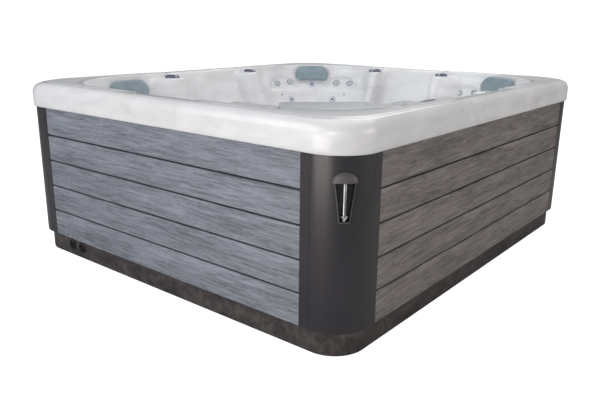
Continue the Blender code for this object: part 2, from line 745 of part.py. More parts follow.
def knob_spots():
    """The four rim knobs, each on the ridge between two seats."""
    spots = []
    for side, label in ((2, "left"), (1, "back")):
        middle, half = SIDE_SEATS[side]
        for kind, share in (("diverter", middle + half), ("air", middle - half)):
            outer, inner = LEVELS[8][RIDGE][0], LEVELS[9][RIDGE][0]
            across = (KNOB_INSET - outer) / (inner - outer)
            spot = shell_point(side, share, None, 8).lerp(shell_point(side, share, None, 9), across)
            out = ring_point(side, share, None, outer, 0.0)[1]
            spots.append((kind, label, Vector((spot.x, spot.y, LEDGE_Z)), out))
    return spots


def make_knobs(shell):
    for kind, label, spot, out in knob_spots():
        radius = KNOB_RADIUS if kind == "diverter" else KNOB_RADIUS * 0.9
        along = Vector((-out.y, out.x, 0))
        inward = Vector((-out.x, -out.y, 0))
        matrix = frame_matrix(spot, along, inward, Vector((0, 0, 1)))
        profile = [(0, KNOB_TALL * 0.55), (radius * 0.86, KNOB_TALL * 0.55), (radius, KNOB_TALL * 0.25),
                   (radius, CLEARANCE), (STEM_RADIUS, CLEARANCE), (STEM_RADIUS, -STEM_LONG), (0, -STEM_LONG)]
        name = kind + "_knob_" + label
        knob = turned(name, profile, chrome(), matrix, steps=16)
        grip = box_mesh("knob_grip", (radius * 0.42, radius * 1.7, KNOB_TALL * 0.6), (0, 0, KNOB_TALL * 0.7))
        combine(knob, cutter(name + "_grip", grip, matrix), "UNION")
        hole = rod_mesh("stem_hole", STEM_RADIUS + 0.002, -0.05, 0.05, 12)
        combine(shell, cutter(name + "_hole", hole, matrix))
        body = [(0, -STEM_LONG - GAP), (0.014, -STEM_LONG - GAP), (0.020, -0.034), (0.020, -0.070),
                (0.015, -0.100), (0, -0.100)]
        turned(kind + "_valve_" + label, body, pipe_plastic(), matrix, steps=14)


def make_keypad(shell):
    """The topside control with its four buttons, let into the ledge of the +X side."""
    matrix = Matrix.Translation((HALF_X - KEYPAD_INSET, KEYPAD_Y, LEDGE_Z))
    outline = rounded_outline(KEYPAD_HALF_X, KEYPAD_HALF_Y, KEYPAD_ROUND, 4)
    body = outline_mesh("keypad_housing", outline, KEYPAD_DEEP + KEYPAD_PROUD)
    shift = Matrix.Translation((0, 0, (KEYPAD_PROUD - KEYPAD_DEEP) / 2))
    housing = place("keypad_housing", body, dark_plastic(), matrix @ shift)
    grown = rounded_outline(KEYPAD_HALF_X + CLEARANCE, KEYPAD_HALF_Y + CLEARANCE, KEYPAD_ROUND, 4)
    combine(shell, cutter("keypad_hole", outline_mesh("keypad_hole", grown, 0.12), matrix))
    for index in range(BUTTON_COUNT):
        y = (index - (BUTTON_COUNT - 1) / 2) * BUTTON_PITCH
        spot = matrix @ Matrix.Translation((-BUTTON_RADIUS, y, 0))
        button = rod_mesh("keypad_button", BUTTON_RADIUS, KEYPAD_PROUD - 0.0035, KEYPAD_PROUD + 0.0025, 12)
        place("keypad_button_%d" % (index + 1), button, grey_plastic(), spot)
        well = rod_mesh("button_well", BUTTON_RADIUS + CLEARANCE, KEYPAD_PROUD - 0.006,
                        KEYPAD_PROUD + 0.01, 12)
        combine(housing, cutter("button_well_%d" % (index + 1), well, spot))


def make_ledge_cap():
    """A round cap on the ledge between the keypad and the filter lid."""
    profile = [(0, CAP_TALL * 0.55), (CAP_RADIUS * 0.45, CAP_TALL * 0.55), (CAP_RADIUS * 0.62, CAP_TALL),
               (CAP_RADIUS * 0.85, CAP_TALL), (CAP_RADIUS, CAP_TALL * 0.4), (CAP_RADIUS, 0), (0, 0)]
    turned("ledge_cap", profile, grey_plastic(), Matrix.Translation((*CAP_SPOT, LEDGE_Z)), steps=18)


def make_filter(shell):
    """Filter bay: lid, open-topped housing, two cartridges and the floating weir."""
    sx, sy = corner_signs(FILTER_CORNER)
    inward = Vector((-sx, -sy, 0)).normalized()
    up = Vector((0, 0, 1))
    along = inward.cross(up)
    matrix = frame_matrix(Vector((sx * HALF_X, sy * HALF_Y, 0)), along, inward, up)

    lip = LEVELS[7][0] * (math.sqrt(2) - 1) + LEVELS[7][FILTER][0] * math.sqrt(2)
    bend = LEVELS[7][0] - (LID_BACK - lip)
    reach = math.degrees(math.asin(LID_HALF * 0.97 / bend))
    back = arc((0, LID_BACK + bend), bend, 270 - reach, 270 + reach, 8)
    lid = [(LID_HALF, LID_BACK + 0.075), (LID_HALF, LID_FRONT - 0.025), (LID_HALF - 0.025, LID_FRONT),
           (-LID_HALF + 0.025, LID_FRONT), (-LID_HALF, LID_FRONT - 0.025), (-LID_HALF, LID_BACK + 0.075)]
    top = Matrix.Translation((0, 0, LEDGE_Z + CLEARANCE + LID_THICK / 2))
    place("filter_lid", outline_mesh("filter_lid", back + lid, LID_THICK), grey_plastic(), matrix @ top)

    middle = (BAY_BACK + BAY_FRONT) / 2
    half = (BAY_FRONT - BAY_BACK) / 2
    roof = LEDGE_Z - SHELL_THICK - 0.002
    opening = rounded_outline(BAY_HALF - 0.008, half - 0.008, 0.03, 4)
    hole = Matrix.Translation((0, middle, LEDGE_Z))
    combine(shell, cutter("bay_opening", outline_mesh("bay_opening", opening, 0.10), matrix @ hole))

    tall = roof - BAY_BOTTOM
    body = outline_mesh("filter_housing", rounded_outline(BAY_HALF, half, 0.03, 4), tall)
    housing = place("filter_housing", body, pipe_plastic(),
                    matrix @ Matrix.Translation((0, middle, BAY_BOTTOM + tall / 2)))
    inner = rounded_outline(BAY_HALF - HOUSING_WALL, half - HOUSING_WALL, 0.025, 4)
    lift = Matrix.Translation((0, middle, BAY_BOTTOM + tall / 2 + HOUSING_WALL))
    combine(housing, cutter("housing_hollow", outline_mesh("housing_hollow", inner, tall), matrix @ lift))
    for item, name, start in ((housing, "weir_mouth", 0.57), (shell, "weir_slot", 0.60)):
        slot = boxes_mesh(name, [((-WEIR_HALF - WEIR_ROOM_X, start, WEIR_BOTTOM - WEIR_ROOM_Z),
                                  (WEIR_HALF + WEIR_ROOM_X, 0.70, WEIR_TOP + WEIR_ROOM_Z))])
        combine(item, cutter(name, slot, matrix))

    weir = box_mesh("skimmer_weir", (2 * WEIR_HALF, WEIR_THICK, WEIR_TOP - WEIR_BOTTOM),
                    (0, 0, (WEIR_TOP - WEIR_BOTTOM) / 2))
    place("skimmer_weir", weir, grey_plastic(), matrix @ Matrix.Translation((0, WEIR_AXIS, WEIR_BOTTOM)),
          smooth=False)

    for name, sign in (("filter_cartridge_left", -1), ("filter_cartridge_right", 1)):
        spot = matrix @ Matrix.Translation((sign * CARTRIDGE_OFFSET, middle - 0.012,
                                            BAY_BOTTOM + HOUSING_WALL + GAP))
        profile = [(0, CARTRIDGE_TALL), (0.016, CARTRIDGE_TALL), (0.016, 0.300), (CARTRIDGE_RADIUS, 0.300),
                   (0.060, 0.276), (0.060, 0.024), (CARTRIDGE_RADIUS, 0.0), (0, 0.0)]
        turned(name, profile, material("filter_paper", (0.85, 0.86, 0.88), 0.9), spot, steps=14)


def make_footwell_fittings():
    """The suction grate on the floor, and the lens of the underwater light on the wall."""
    profile = [(0, 0.016), (0.055, 0.014), (0.085, 0.006), (GRATE_RADIUS, 0.0), (0, 0.0)]
    floor = Matrix.Translation((0, 0, LEVELS[17][SIDE][1]))
    turned("suction_cover", profile, grey_plastic(), floor, steps=18)
    wall = HALF_Y - (LEVELS[15][SIDE][0] + LEVELS[16][SIDE][0]) / 2
    lean = math.atan2(LEVELS[16][SIDE][0] - LEVELS[15][SIDE][0], LEVELS[15][SIDE][1] - LEVELS[16][SIDE][1])
    lens = [(0, 0.014), (0.030, 0.012), (0.050, 0.006), (LENS_RADIUS, 0.0), (0, 0.0)]
    middle_z = (LEVELS[15][SIDE][1] + LEVELS[16][SIDE][1]) / 2
    matrix = (Matrix.Translation((0, -wall + LENS_SINK, middle_z))
              @ Matrix.Rotation(math.radians(-90) + lean, 4, "X"))
    turned("light_lens", lens, material("lens", (0.8, 0.85, 0.9), 0.05), matrix, steps=18)


# ---------------------------------------------------------------- equipment bay

def make_pump(label, x, y):
    """A wet end, its impeller and its motor in line along X, on the base floor."""
    matrix = Matrix.Translation((x, y, PUMP_AXIS_Z)) @ Matrix.Rotation(math.radians(90), 4, "Y")
    cast = material("pump_black", (0.03, 0.03, 0.03), 0.5)
    wet = [(0.036, 0.090), (0.036, 0.050), (0.085, 0.046), (0.100, 0.030), (0.100, -0.030), (0.085, -0.046),
           (0.014, -0.046), (0.014, -0.034), (0.080, -0.030), (0.080, 0.028), (0.028, 0.034), (0.028, 0.090)]
    volute = turned("%s_wet_end" % label, wet, cast, matrix, steps=14, closed=True)
    outlet = rod_mesh("outlet", 0.024, 0.090, 0.150, 12)
    combine(volute, cutter(label + "_outlet", outlet, Matrix.Translation((x, y, PUMP_AXIS_Z))), "UNION")
    hub = [(0, 0.018), (0.016, 0.018), (0.024, -0.010), (0.070, -0.012), (0.070, -0.020), (0.010, -0.020),
           (0.010, -0.058), (0, -0.058)]
    wheel = turned("%s_impeller" % label, hub, grey_plastic(), matrix, steps=14)
    bm = bmesh.new()
    for index in range(5):
        turn = Matrix.Rotation(math.radians(72 * index), 4, "Z")
        bmesh.ops.create_cube(bm, size=1.0, matrix=turn @ Matrix.Translation((0.044, 0, 0.000))
                              @ Matrix.Diagonal((0.044, 0.004, 0.030, 1)))
    combine(wheel, cutter(label + "_vanes", mesh_of(bm, "vanes"), matrix), "UNION")
    body = [(0, -0.062), (0.060, -0.062), (0.084, -0.070), (0.084, -0.320), (0.070, -0.345), (0, -0.345)]
    motor = turned("%s_motor" % label, body, cast, matrix, steps=16)
    low = BASE_FLOOR + GAP - PUMP_AXIS_Z
    feet = boxes_mesh("feet", [((-0.28, -0.080, low), (-0.12, 0.080, -0.060))])
    combine(motor, cutter(label + "_feet", feet, Matrix.Translation((x, y, PUMP_AXIS_Z))), "UNION")


def make_equipment():
    for label, (x, y) in PUMP_SPOTS.items():
        make_pump(label, x, y)
    steel = material("steel", (0.6, 0.6, 0.6), 0.3, 1.0)
    heater = [(0, 0.170), (0.020, 0.170), (0.024, 0.160), (0.032, 0.150), (0.032, -0.150), (0.024, -0.160),
              (0.020, -0.170), (0, -0.170)]
    turned("heater_tube", heater, steel,
           Matrix.Translation(HEATER_SPOT) @ Matrix.Rotation(math.radians(90), 4, "Y"), steps=18)
    box = box_mesh("control_box", BOX_SIZE, BOX_SPOT)
    case = place("control_box", box, material("box_grey", (0.25, 0.26, 0.27), 0.5))
    soft = case.modifiers.new("edges", "BEVEL")
    soft.width = BOX_SOFT
    soft.segments = 2
    tube("pressure_manifold", PRESSURE_PIPE, PRESSURE_PIPE_RADIUS, pipe_plastic())
    tube("suction_manifold", SUCTION_PIPE, SUCTION_PIPE_RADIUS, pipe_plastic())
    ozone = box_mesh("ozone_generator", OZONE_SIZE, OZONE_SPOT)
    place("ozone_generator", ozone, dark_plastic())


def main():
    global PARTS, CUTTERS
    clear_scene()
    PARTS = new_collection("hot_tub")
    CUTTERS = new_collection("cutters")
    base = make_base()
    make_drain_caps(base)
    make_frame()
    make_panels()
    make_pillars()
    shell = make_shell()
    make_jets(shell)
    for name, corner in SEAT_CORNERS.items():
        make_headrest(name, corner)
    make_knobs(shell)
    make_keypad(shell)
    make_ledge_cap()
    make_filter(shell)
    make_footwell_fittings()
    make_equipment()


main()
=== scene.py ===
"""The looks of a portable hot tub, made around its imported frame.

Metres, +Z up. Every piece's mesh is in the frame's own coordinates, so its object
coordinates are the tub's, and the grain and marbling stay on a piece when it moves.
"""
import json
from math import asin, atan2, copysign, cos, degrees, exp, pi, radians, sin, sqrt

import bmesh
import bpy
import numpy as np
from mathutils import Matrix, Vector


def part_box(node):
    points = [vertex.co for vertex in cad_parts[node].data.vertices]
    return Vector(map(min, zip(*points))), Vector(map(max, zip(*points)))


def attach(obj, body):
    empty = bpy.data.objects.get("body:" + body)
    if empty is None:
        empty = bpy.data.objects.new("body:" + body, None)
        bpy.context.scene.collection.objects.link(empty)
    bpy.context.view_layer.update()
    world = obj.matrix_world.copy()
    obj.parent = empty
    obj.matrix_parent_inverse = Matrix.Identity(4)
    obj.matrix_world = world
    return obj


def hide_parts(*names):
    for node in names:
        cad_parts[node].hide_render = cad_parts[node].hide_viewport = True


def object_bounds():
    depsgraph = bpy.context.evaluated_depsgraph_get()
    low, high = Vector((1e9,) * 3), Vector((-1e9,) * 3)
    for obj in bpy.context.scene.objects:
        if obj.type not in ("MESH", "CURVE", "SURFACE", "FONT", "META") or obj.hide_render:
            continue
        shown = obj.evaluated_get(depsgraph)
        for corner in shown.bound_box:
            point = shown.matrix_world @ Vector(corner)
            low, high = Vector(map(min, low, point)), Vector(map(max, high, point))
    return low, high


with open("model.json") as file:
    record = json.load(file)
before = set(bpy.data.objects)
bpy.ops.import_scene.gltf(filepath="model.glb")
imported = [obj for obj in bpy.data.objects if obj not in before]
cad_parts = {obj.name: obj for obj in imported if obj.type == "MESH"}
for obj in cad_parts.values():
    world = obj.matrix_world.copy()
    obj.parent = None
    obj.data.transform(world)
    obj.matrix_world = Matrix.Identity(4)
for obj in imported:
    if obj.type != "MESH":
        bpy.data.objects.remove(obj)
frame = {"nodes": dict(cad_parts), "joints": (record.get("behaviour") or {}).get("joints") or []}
CAD_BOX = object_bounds()

# The cabinet, from the frame
HALF_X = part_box("right_panel")[1].x
HALF_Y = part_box("back_panel")[1].y
PANEL_LOW, PANEL_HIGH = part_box("right_panel")[0].z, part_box("right_panel")[1].z
HEIGHT = CAD_BOX[1].z
PILLAR_REACH = HALF_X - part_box("pillar_back_right")[0].x
BOARD_COUNT = 5
BOARD_PITCH = 0.140
BOARD_THICK = 0.012
GROOVE = 0.008
PILLAR_RADIUS = 0.170
PILLAR_THICK = 0.004
BASE_INSET = HALF_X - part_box("base_pan")[1].x
BASE_RADIUS = 0.150
BASE_WALL = 0.010
DRAIN_CAPS = ("drain_cap_left", "drain_cap_right")

# The shell's section, level by level: plan corner radius, then (inset from the cabinet's
# face, height) in a side seat, in a corner seat, on the ridge between two seats, and in
# the filter bay. It is the frame's own section, drawn here as a smooth curve.
LEDGE_Z = 0.921
LEVELS = (
    (0.175, *[(-0.007, 0.819)] * 4),
    (0.180, *[(-0.011, 0.827)] * 4),
    (0.180, *[(-0.011, 0.892)] * 4),
    (0.180, *[(-0.003, 0.922)] * 4),
    (0.190, (0.016, 0.940), (0.016, 0.941), (0.016, 0.941), (0.016, 0.941)),
    (0.230, (0.044, 0.946), (0.044, 0.949), (0.044, 0.949), (0.044, 0.949)),
    (0.330, (0.064, 0.946), (0.075, HEIGHT), (0.075, HEIGHT), (0.075, HEIGHT)),
    (0.450, (0.086, 0.938), (0.105, 0.944), (0.105, 0.944), (0.105, 0.944)),
    (0.450, (0.100, 0.915), (0.109, 0.918), (0.118, LEDGE_Z), (0.118, LEDGE_Z)),
    (0.450, (0.122, 0.860), (0.125, 0.865), (0.226, 0.918), (0.300, LEDGE_Z)),
    (0.430, (0.160, 0.760), (0.165, 0.780), (0.280, 0.800), (0.314, 0.800)),
    (0.400, (0.235, 0.600), (0.240, 0.600), (0.345, 0.660), (0.332, 0.600)),
    (0.360, (0.315, 0.475), (0.330, 0.475), (0.430, 0.560), (0.370, 0.480)),
    (0.310, (0.460, 0.455), (0.470, 0.455), (0.530, 0.515), (0.470, 0.460)),
    (0.260, (0.595, 0.462), (0.600, 0.462), (0.600, 0.500), (0.600, 0.462)),
    (0.240, (0.632, 0.435), (0.635, 0.435), (0.636, 0.465), (0.635, 0.435)),
    (0.200, *[(0.672, 0.130)] * 4),
    (0.170, *[(0.715, 0.100)] * 4),
    (0.100, *[(0.900, 0.097)] * 4),
)
RINGS_BETWEEN = (2, 4, 4, 5, 10, 6, 10, 5, 7, 9, 9, 8, 8, 6, 5, 6, 4, 2)
SIDE, CORNER, RIDGE, FILTER = 0, 1, 2, 3
SIDE_SEATS = ((0.0, 0.50), (0.032, 0.557), (-0.023, 0.550), (0.0, 0.50))
FILTER_CORNER = 3
SEAT_CORNERS = {"back_right": 0, "back_left": 1, "front_left": 2}
WING_CORNERS = {"back_right": (0, 0.20), "back_left": (1, 0.0)}
RIDGE_FLAT, RIDGE_SPREAD, RIDGE_SPLAY = 0.045, 0.085, 0.10
RIDGE_EDGE = 3.2
RIDGE_SPLAY_LEVELS = (8, 14)
SHELL_THICK = 0.006
SIDE_STEPS, CORNER_STEPS = 68, 44
SHOULDER, LIP, SEAT_BACK = 7, 8, 12
WALL_RADIUS, WALL_START = 0.44, 0.14

# The rim's creases (level, and width in levels), and the line of painted shade in the first of them (height,
# width, strength)
RIM_CREASES = ((4.45, 0.10), (6.7, 0.14))
CREASE_DEEP = 0.0020
PAINTED_CREASE_SHADE_Z, PAINTED_CREASE_SHADE_WIDE, PAINTED_CREASE_SHADE_STRENGTH = 0.9455, 0.0013, 0.50

# The hollows in the back seats' walls, and the levels between which they lie
WING_MIDDLE, WING_HALF, WING_DEEP = 0.245, 0.165, 0.020
WING_Z, WING_ABOVE, WING_BELOW = 0.785, 0.088, 0.026
WING_LEVELS = (8.2, 11.5)

# How the shell flattens under a fitting: flat out to, unchanged beyond, and sunk by
JET_PAD = (0.030, 0.052, 0.001)
KNOB_PAD = (0.050, 0.075, 0.0)
ON_AXIS = 1e-6

UP = Vector((0, 0, 1))

# Studio: how bright the floor and the sky are to each kind of ray, and the soft boxes
# (name, place, aim, size, power, colour, share of its power that shines)
FLOOR_GLOW, FLOOR_TONE = 0.92, 0.50
SKY_LEVELS = (("Is Camera Ray", 1.1), ("Is Diffuse Ray", 0.345), ("Is Glossy Ray", 0.10))
LIGHTS = (
    ("key", (-2.5, -6.0, 3.2), (0, 0, 0.5), (4.4, 3.2), 124.0, (0.90, 0.955, 1.0), 0.5),
    ("front", (2.4, -5.6, 2.0), (0.6, 0, 0.6), (1.8, 1.8), 62.0, (1.0, 0.97, 0.94), 0.1),
    ("strip", (0.74, -4.1, 0.28), (0.95, -1.25, 0.6), (2.4, 0.6), 24.0, (1.0, 0.92, 0.86), 2.6),
    ("top", (0.2, 0.6, 4.2), (0, 0, 0.5), (3.6, 3.6), 60.0, (1.0, 1.0, 1.0), 0.3),
    ("side", (5.4, 0.8, 2.0), (0, 0, 0.5), (2.6, 2.0), 56.0, (1.0, 0.93, 0.89), 0.15),
    ("back", (-1.5, 4.8, 4.6), (0, 0, 0.7), (3.0, 2.0), 48.0, (1.0, 1.0, 1.0), 0.1),
)

# The camera, solved from the tub's straight edges: yaw, pitch and roll, then lens in mm
CAMERA_PLACE = (2.3056, -3.0275, 1.2786)
CAMERA_TURN = (-38.82, -15.812, 0.664)
CAMERA_LENS = 37.90


# ---------------------------------------------------------------- materials

class Finish:
    """A node material on one Principled shader, with short calls for its textures."""

    def __init__(self, name, colour, roughness, metallic=0.0, **sockets):
        self.made = bpy.data.materials.new(name)
        self.made.use_nodes = True
        self.tree = self.made.node_tree
        self.shader = self.tree.nodes["Principled BSDF"]
        self.spot = self.tree.nodes.new("ShaderNodeTexCoord").outputs["Object"]
        self.set(self.shader, {"Base Color": (*colour, 1.0), "Roughness": roughness,
                               "Metallic": metallic})
        self.set(self.shader, sockets)

    def set(self, node, values):
        for key, value in values.items():
            name = key.replace("_", " ") if isinstance(key, str) else key
            socket = node.inputs[name]
            if isinstance(value, bpy.types.NodeSocket):
                self.tree.links.new(value, socket)
            else:
                socket.default_value = value

    def node(self, kind, values, **settings):
        made = self.tree.nodes.new("ShaderNode" + kind)
        for name, value in settings.items():
            setattr(made, name, value)
        self.set(made, values)
        return made

    def stretched(self, scale, turn=(0, 0, 0), vector=None):
        made = self.node("Mapping", {"Vector": vector or self.spot, "Scale": scale, "Rotation": turn})
        return made.outputs["Vector"]

    def noise(self, scale, detail=4.0, roughness=0.5, distortion=0.0, vector=None):
        made = self.node("TexNoise", {"Vector": vector or self.spot, "Scale": scale, "Detail": detail,
                                      "Roughness": roughness, "Distortion": distortion})
        return made.outputs["Fac"]

    def height(self):
        return self.node("SeparateXYZ", {"Vector": self.spot}).outputs["Z"]

    def ramp(self, factor, stops):
        made = self.node("ValToRGB", {"Fac": factor})
        band = made.color_ramp
        for index, (at, colour) in enumerate(stops):
            if index > 1:
                band.elements.new(at)
            band.elements[index].position = at
        for index, (at, colour) in enumerate(stops):
            level = (colour,) * 3 if isinstance(colour, float) else colour
            band.elements[index].color = (*level, 1.0)
        return made.outputs["Color"]

    def value(self, operation, a, b=0.0):
        return self.node("Math", {0: a, 1: b}, operation=operation).outputs[0]

    def blend(self, factor, a, b, kind="MIX"):
        made = self.tree.nodes.new("ShaderNodeMix")
        made.data_type = "RGBA"
        made.blend_type = kind
        for socket, value in ((made.inputs[0], factor), (made.inputs[6], a), (made.inputs[7], b)):
            if isinstance(value, bpy.types.NodeSocket):
                self.tree.links.new(value, socket)
            else:
                socket.default_value = value if isinstance(value, float) else (*value, 1.0)
        return made.outputs[2]

    def colour(self, socket):
        self.tree.links.new(socket, self.shader.inputs["Base Color"])

    def roughness(self, factor, low, high):
        made = self.node("MapRange", {"Value": factor, "To Min": low, "To Max": high})
        self.tree.links.new(made.outputs[0], self.shader.inputs["Roughness"])

    def bump(self, height, strength, distance):
        made = self.node("Bump", {"Height": height, "Strength": strength, "Distance": distance})
        self.tree.links.new(made.outputs["Normal"], self.shader.inputs["Normal"])


def acrylic_finish():
    """Pearl-white gloss acrylic: long faint waves, soft bands, grey veins, and a line of painted shade along
    the rim's crease.
    """
    made = Finish("pearl_acrylic", (0.86, 0.865, 0.88), 0.26, Coat_Weight=0.22, Coat_Roughness=0.10)
    long_waves = made.noise(1.0, 3.0, 0.45, 0.7, made.stretched((1.3, 1.3, 8.0), (0.10, 0.16, 0.0)))
    bands = made.noise(1.0, 2.0, 0.4, 0.3, made.stretched((6.0, 6.0, 0.9), (0.0, 0.25, 0.3)))
    drift = made.noise(1.0, 3.0, 0.5, 1.1, made.stretched((2.6, 2.6, 5.0), (0.5, 0.3, 0.4)))
    waves = made.ramp(long_waves, [(0.32, 0.90), (0.64, 1.0)])
    body = made.blend(1.0, (0.865, 0.87, 0.89), waves, "MULTIPLY")
    body = made.blend(1.0, body, made.ramp(bands, [(0.35, 0.955), (0.62, 1.0)]), "MULTIPLY")
    veins = made.ramp(drift, [(0.40, 1.0), (0.48, 0.95), (0.50, 0.93), (0.53, 0.96), (0.62, 1.0)])
    body = made.blend(1.0, body, veins, "MULTIPLY")
    height = made.height()
    # Painted shade: a thin grey band round the rim at one height, darkening the colour where the crease's
    # shade falls.
    off = made.value("DIVIDE", made.value("SUBTRACT", height, PAINTED_CREASE_SHADE_Z), PAINTED_CREASE_SHADE_WIDE)
    crease = made.value("EXPONENT", made.value("MULTIPLY", made.value("MULTIPLY", off, off), -1.0))
    made.colour(made.blend(made.value("MULTIPLY", crease, PAINTED_CREASE_SHADE_STRENGTH), body, (0.36, 0.36, 0.38)))
    made.roughness(long_waves, 0.22, 0.34)
    made.bump(made.noise(7.0, 2.0), 0.05, 0.01)
    return made.made


def board_finish(name, along, dark, light):
    """Composite board with a fine embossed grain along X (0) or Y (1), which differs board by board."""
    made = Finish(name, light, 0.6, Specular_IOR_Level=0.35)
    height = made.height()
    row = made.value("FLOOR", made.value("DIVIDE", made.value("SUBTRACT", height, PANEL_LOW), BOARD_PITCH))
    shift = made.node("CombineXYZ", {along: made.value("MULTIPLY", row, 3.7),
                                     "Z": made.value("MULTIPLY", row, 0.31)})
    moved = made.node("VectorMath", {0: made.spot, 1: shift.outputs[0]}, operation="ADD").outputs[0]
    fine = [60.0, 60.0, 420.0]
    broad = [12.0, 12.0, 80.0]
    patch = [3.0, 3.0, 14.0]
    fine[along], broad[along], patch[along] = 34.0, 5.5, 1.8
    threads = made.noise(1.0, 4.0, 0.65, 0.5, made.stretched(fine, vector=moved))
    streaks = made.noise(1.0, 4.0, 0.60, 0.8, made.stretched(broad, vector=moved))
    clouds = made.noise(1.0, 3.0, 0.50, 0.4, made.stretched(patch, vector=moved))
    mixed = made.value("ADD", made.value("MULTIPLY", threads, 0.34), made.value("MULTIPLY", streaks, 0.44))
    mixed = made.value("ADD", mixed, made.value("MULTIPLY", clouds, 0.22))
    made.colour(made.ramp(mixed, [(0.39, dark), (0.60, light)]))
    made.roughness(threads, 0.50, 0.78)
    made.bump(mixed, 0.55, 0.0012)
    return made.made


def satin_finish(name, dark, light, roughness, grain=900.0, patch=7.0, depth=0.0002, **sockets):
    """Moulded plastic: a fine leathery grain over slow changes of tone."""
    made = Finish(name, light, roughness, **sockets)
    cloud = made.noise(patch, 4.0, 0.6, 0.3)
    made.colour(made.ramp(cloud, [(0.30, dark), (0.70, light)]))
    made.roughness(made.noise(patch * 2.3, 3.0), roughness * 0.85, min(1.0, roughness * 1.2))
    made.bump(made.noise(grain, 2.0, 0.6), 0.35, depth)
    return made.made


def mottled_finish():
    """The base pan's dark plastic, blotched brown and grey."""
    made = Finish("mottled_base", (0.05, 0.04, 0.04), 0.5)
    blotch = made.noise(1.0, 6.0, 0.7, 0.4, made.stretched((26.0, 26.0, 26.0)))
    drift = made.noise(1.0, 3.0, 0.5, 0.5, made.stretched((4.0, 4.0, 9.0)))
    mixed = made.value("ADD", made.value("MULTIPLY", blotch, 0.6), made.value("MULTIPLY", drift, 0.4))
    made.colour(made.ramp(mixed, [(0.38, (0.022, 0.018, 0.018)), (0.50, (0.050, 0.043, 0.044)),
                                  (0.62, (0.098, 0.082, 0.077))]))
    made.roughness(blotch, 0.38, 0.62)
    made.bump(blotch, 0.30, 0.0008)
    return made.made


def chrome_finish(name="chrome", tone=(0.78, 0.79, 0.81), low=0.07, high=0.20):
    """Bright metal, faintly smeared, with its roughness between low and high."""
    made = Finish(name, tone, 0.12, 1.0)
    smear = made.noise(35.0, 4.0, 0.6, 0.5)
    made.colour(made.ramp(smear, [(0.30, tuple(c * 0.88 for c in tone)), (0.70, tone)]))
    made.roughness(smear, low, high)
    return made.made


def foam_finish():
    """Blue-grey closed-cell foam with a fine pitted skin."""
    made = Finish("pillow_foam", (0.26, 0.33, 0.37), 0.6, Sheen_Weight=0.25, Sheen_Roughness=0.5)
    cells = made.node("TexVoronoi", {"Vector": made.spot, "Scale": 420.0}).outputs["Distance"]
    cloud = made.noise(14.0, 3.0)
    made.colour(made.ramp(cloud, [(0.30, (0.215, 0.285, 0.325)), (0.70, (0.285, 0.360, 0.400))]))
    made.roughness(cloud, 0.52, 0.70)
    made.bump(cells, 0.30, 0.0005)
    return made.made


def timber_finish():
    """Pale rough timber with a loose grain."""
    made = Finish("timber", (0.55, 0.42, 0.27), 0.75)
    grain = made.noise(1.0, 5.0, 0.6, 1.2, made.stretched((22.0, 22.0, 7.0)))
    made.colour(made.ramp(grain, [(0.30, (0.36, 0.24, 0.13)), (0.55, (0.58, 0.43, 0.26)),
                                  (0.75, (0.66, 0.52, 0.34))]))
    made.roughness(grain, 0.60, 0.85)
    made.bump(grain, 0.4, 0.001)
    return made.made


def steel_finish():
    """Stainless tube, brushed round its own axis, which runs along X."""
    made = Finish("brushed_steel", (0.62, 0.62, 0.63), 0.3, 1.0)
    brush = made.noise(1.0, 3.0, 0.6, 0.0, made.stretched((900.0, 12.0, 12.0)))
    made.colour(made.ramp(brush, [(0.30, (0.48, 0.48, 0.49)), (0.70, (0.68, 0.68, 0.69))]))
    made.roughness(brush, 0.22, 0.42)
    made.bump(brush, 0.2, 0.0001)
    return made.made


def paper_finish():
    """Pleated polyester: the pleats are in the mesh, and this adds the felt."""
    made = Finish("filter_felt", (0.84, 0.86, 0.90), 0.95, Sheen_Weight=0.2)
    felt = made.noise(520.0, 3.0, 0.7)
    made.colour(made.ramp(felt, [(0.25, (0.70, 0.73, 0.79)), (0.75, (0.88, 0.90, 0.93))]))
    made.bump(felt, 0.3, 0.0004)
    return made.made


def lens_finish():
    """A clear lens over a ribbed reflector."""
    made = Finish("clear_lens", (0.78, 0.84, 0.90), 0.08, Coat_Weight=0.8, Coat_Roughness=0.03)
    ribs = made.node("TexWave", {"Vector": made.spot, "Scale": 55.0, "Distortion": 0.0},
                     wave_type="BANDS", bands_direction="X").outputs["Fac"]
    made.colour(made.ramp(ribs, [(0.2, (0.52, 0.60, 0.68)), (0.8, (0.86, 0.90, 0.94))]))
    made.roughness(ribs, 0.05, 0.14)
    made.bump(ribs, 0.25, 0.0008)
    return made.made


ACRYLIC = acrylic_finish()
# The same boards in two tones: the cooler, lighter tone of the front and back boards is painted cool key
# light, and the warmer, darker tone of the side boards is painted warm shade.
BOARD_PAINTED_COOL_LIGHT = board_finish("board_along_x", 0, (0.108, 0.116, 0.140), (0.300, 0.323, 0.376))
BOARD_PAINTED_WARM_SHADE = board_finish("board_along_y", 1, (0.100, 0.090, 0.086), (0.290, 0.266, 0.252))
BACKING = satin_finish("groove_backing", (0.022, 0.023, 0.034), (0.045, 0.046, 0.064), 0.7)
CHARCOAL = satin_finish("charcoal_pillar", (0.020, 0.018, 0.022), (0.032, 0.029, 0.034), 0.28, patch=3.0,
                        Specular_IOR_Level=0.56)
HOOD = satin_finish("charcoal_hood", (0.085, 0.080, 0.085), (0.115, 0.108, 0.114), 0.42, patch=18.0)
RECESS = satin_finish("light_recess", (0.002, 0.002, 0.003), (0.010, 0.011, 0.015), 0.22, patch=40.0)
MOTTLED = mottled_finish()
CHROME = chrome_finish()
PALE_CHROME = chrome_finish("pale_chrome", (0.86, 0.87, 0.90), 0.10, 0.28)
ROD_METAL = chrome_finish("satin_rod", (0.40, 0.40, 0.42), 0.26, 0.38)
FOAM = foam_finish()
NAVY = satin_finish("navy_plastic", (0.010, 0.012, 0.045), (0.020, 0.024, 0.080), 0.30, patch=60.0)
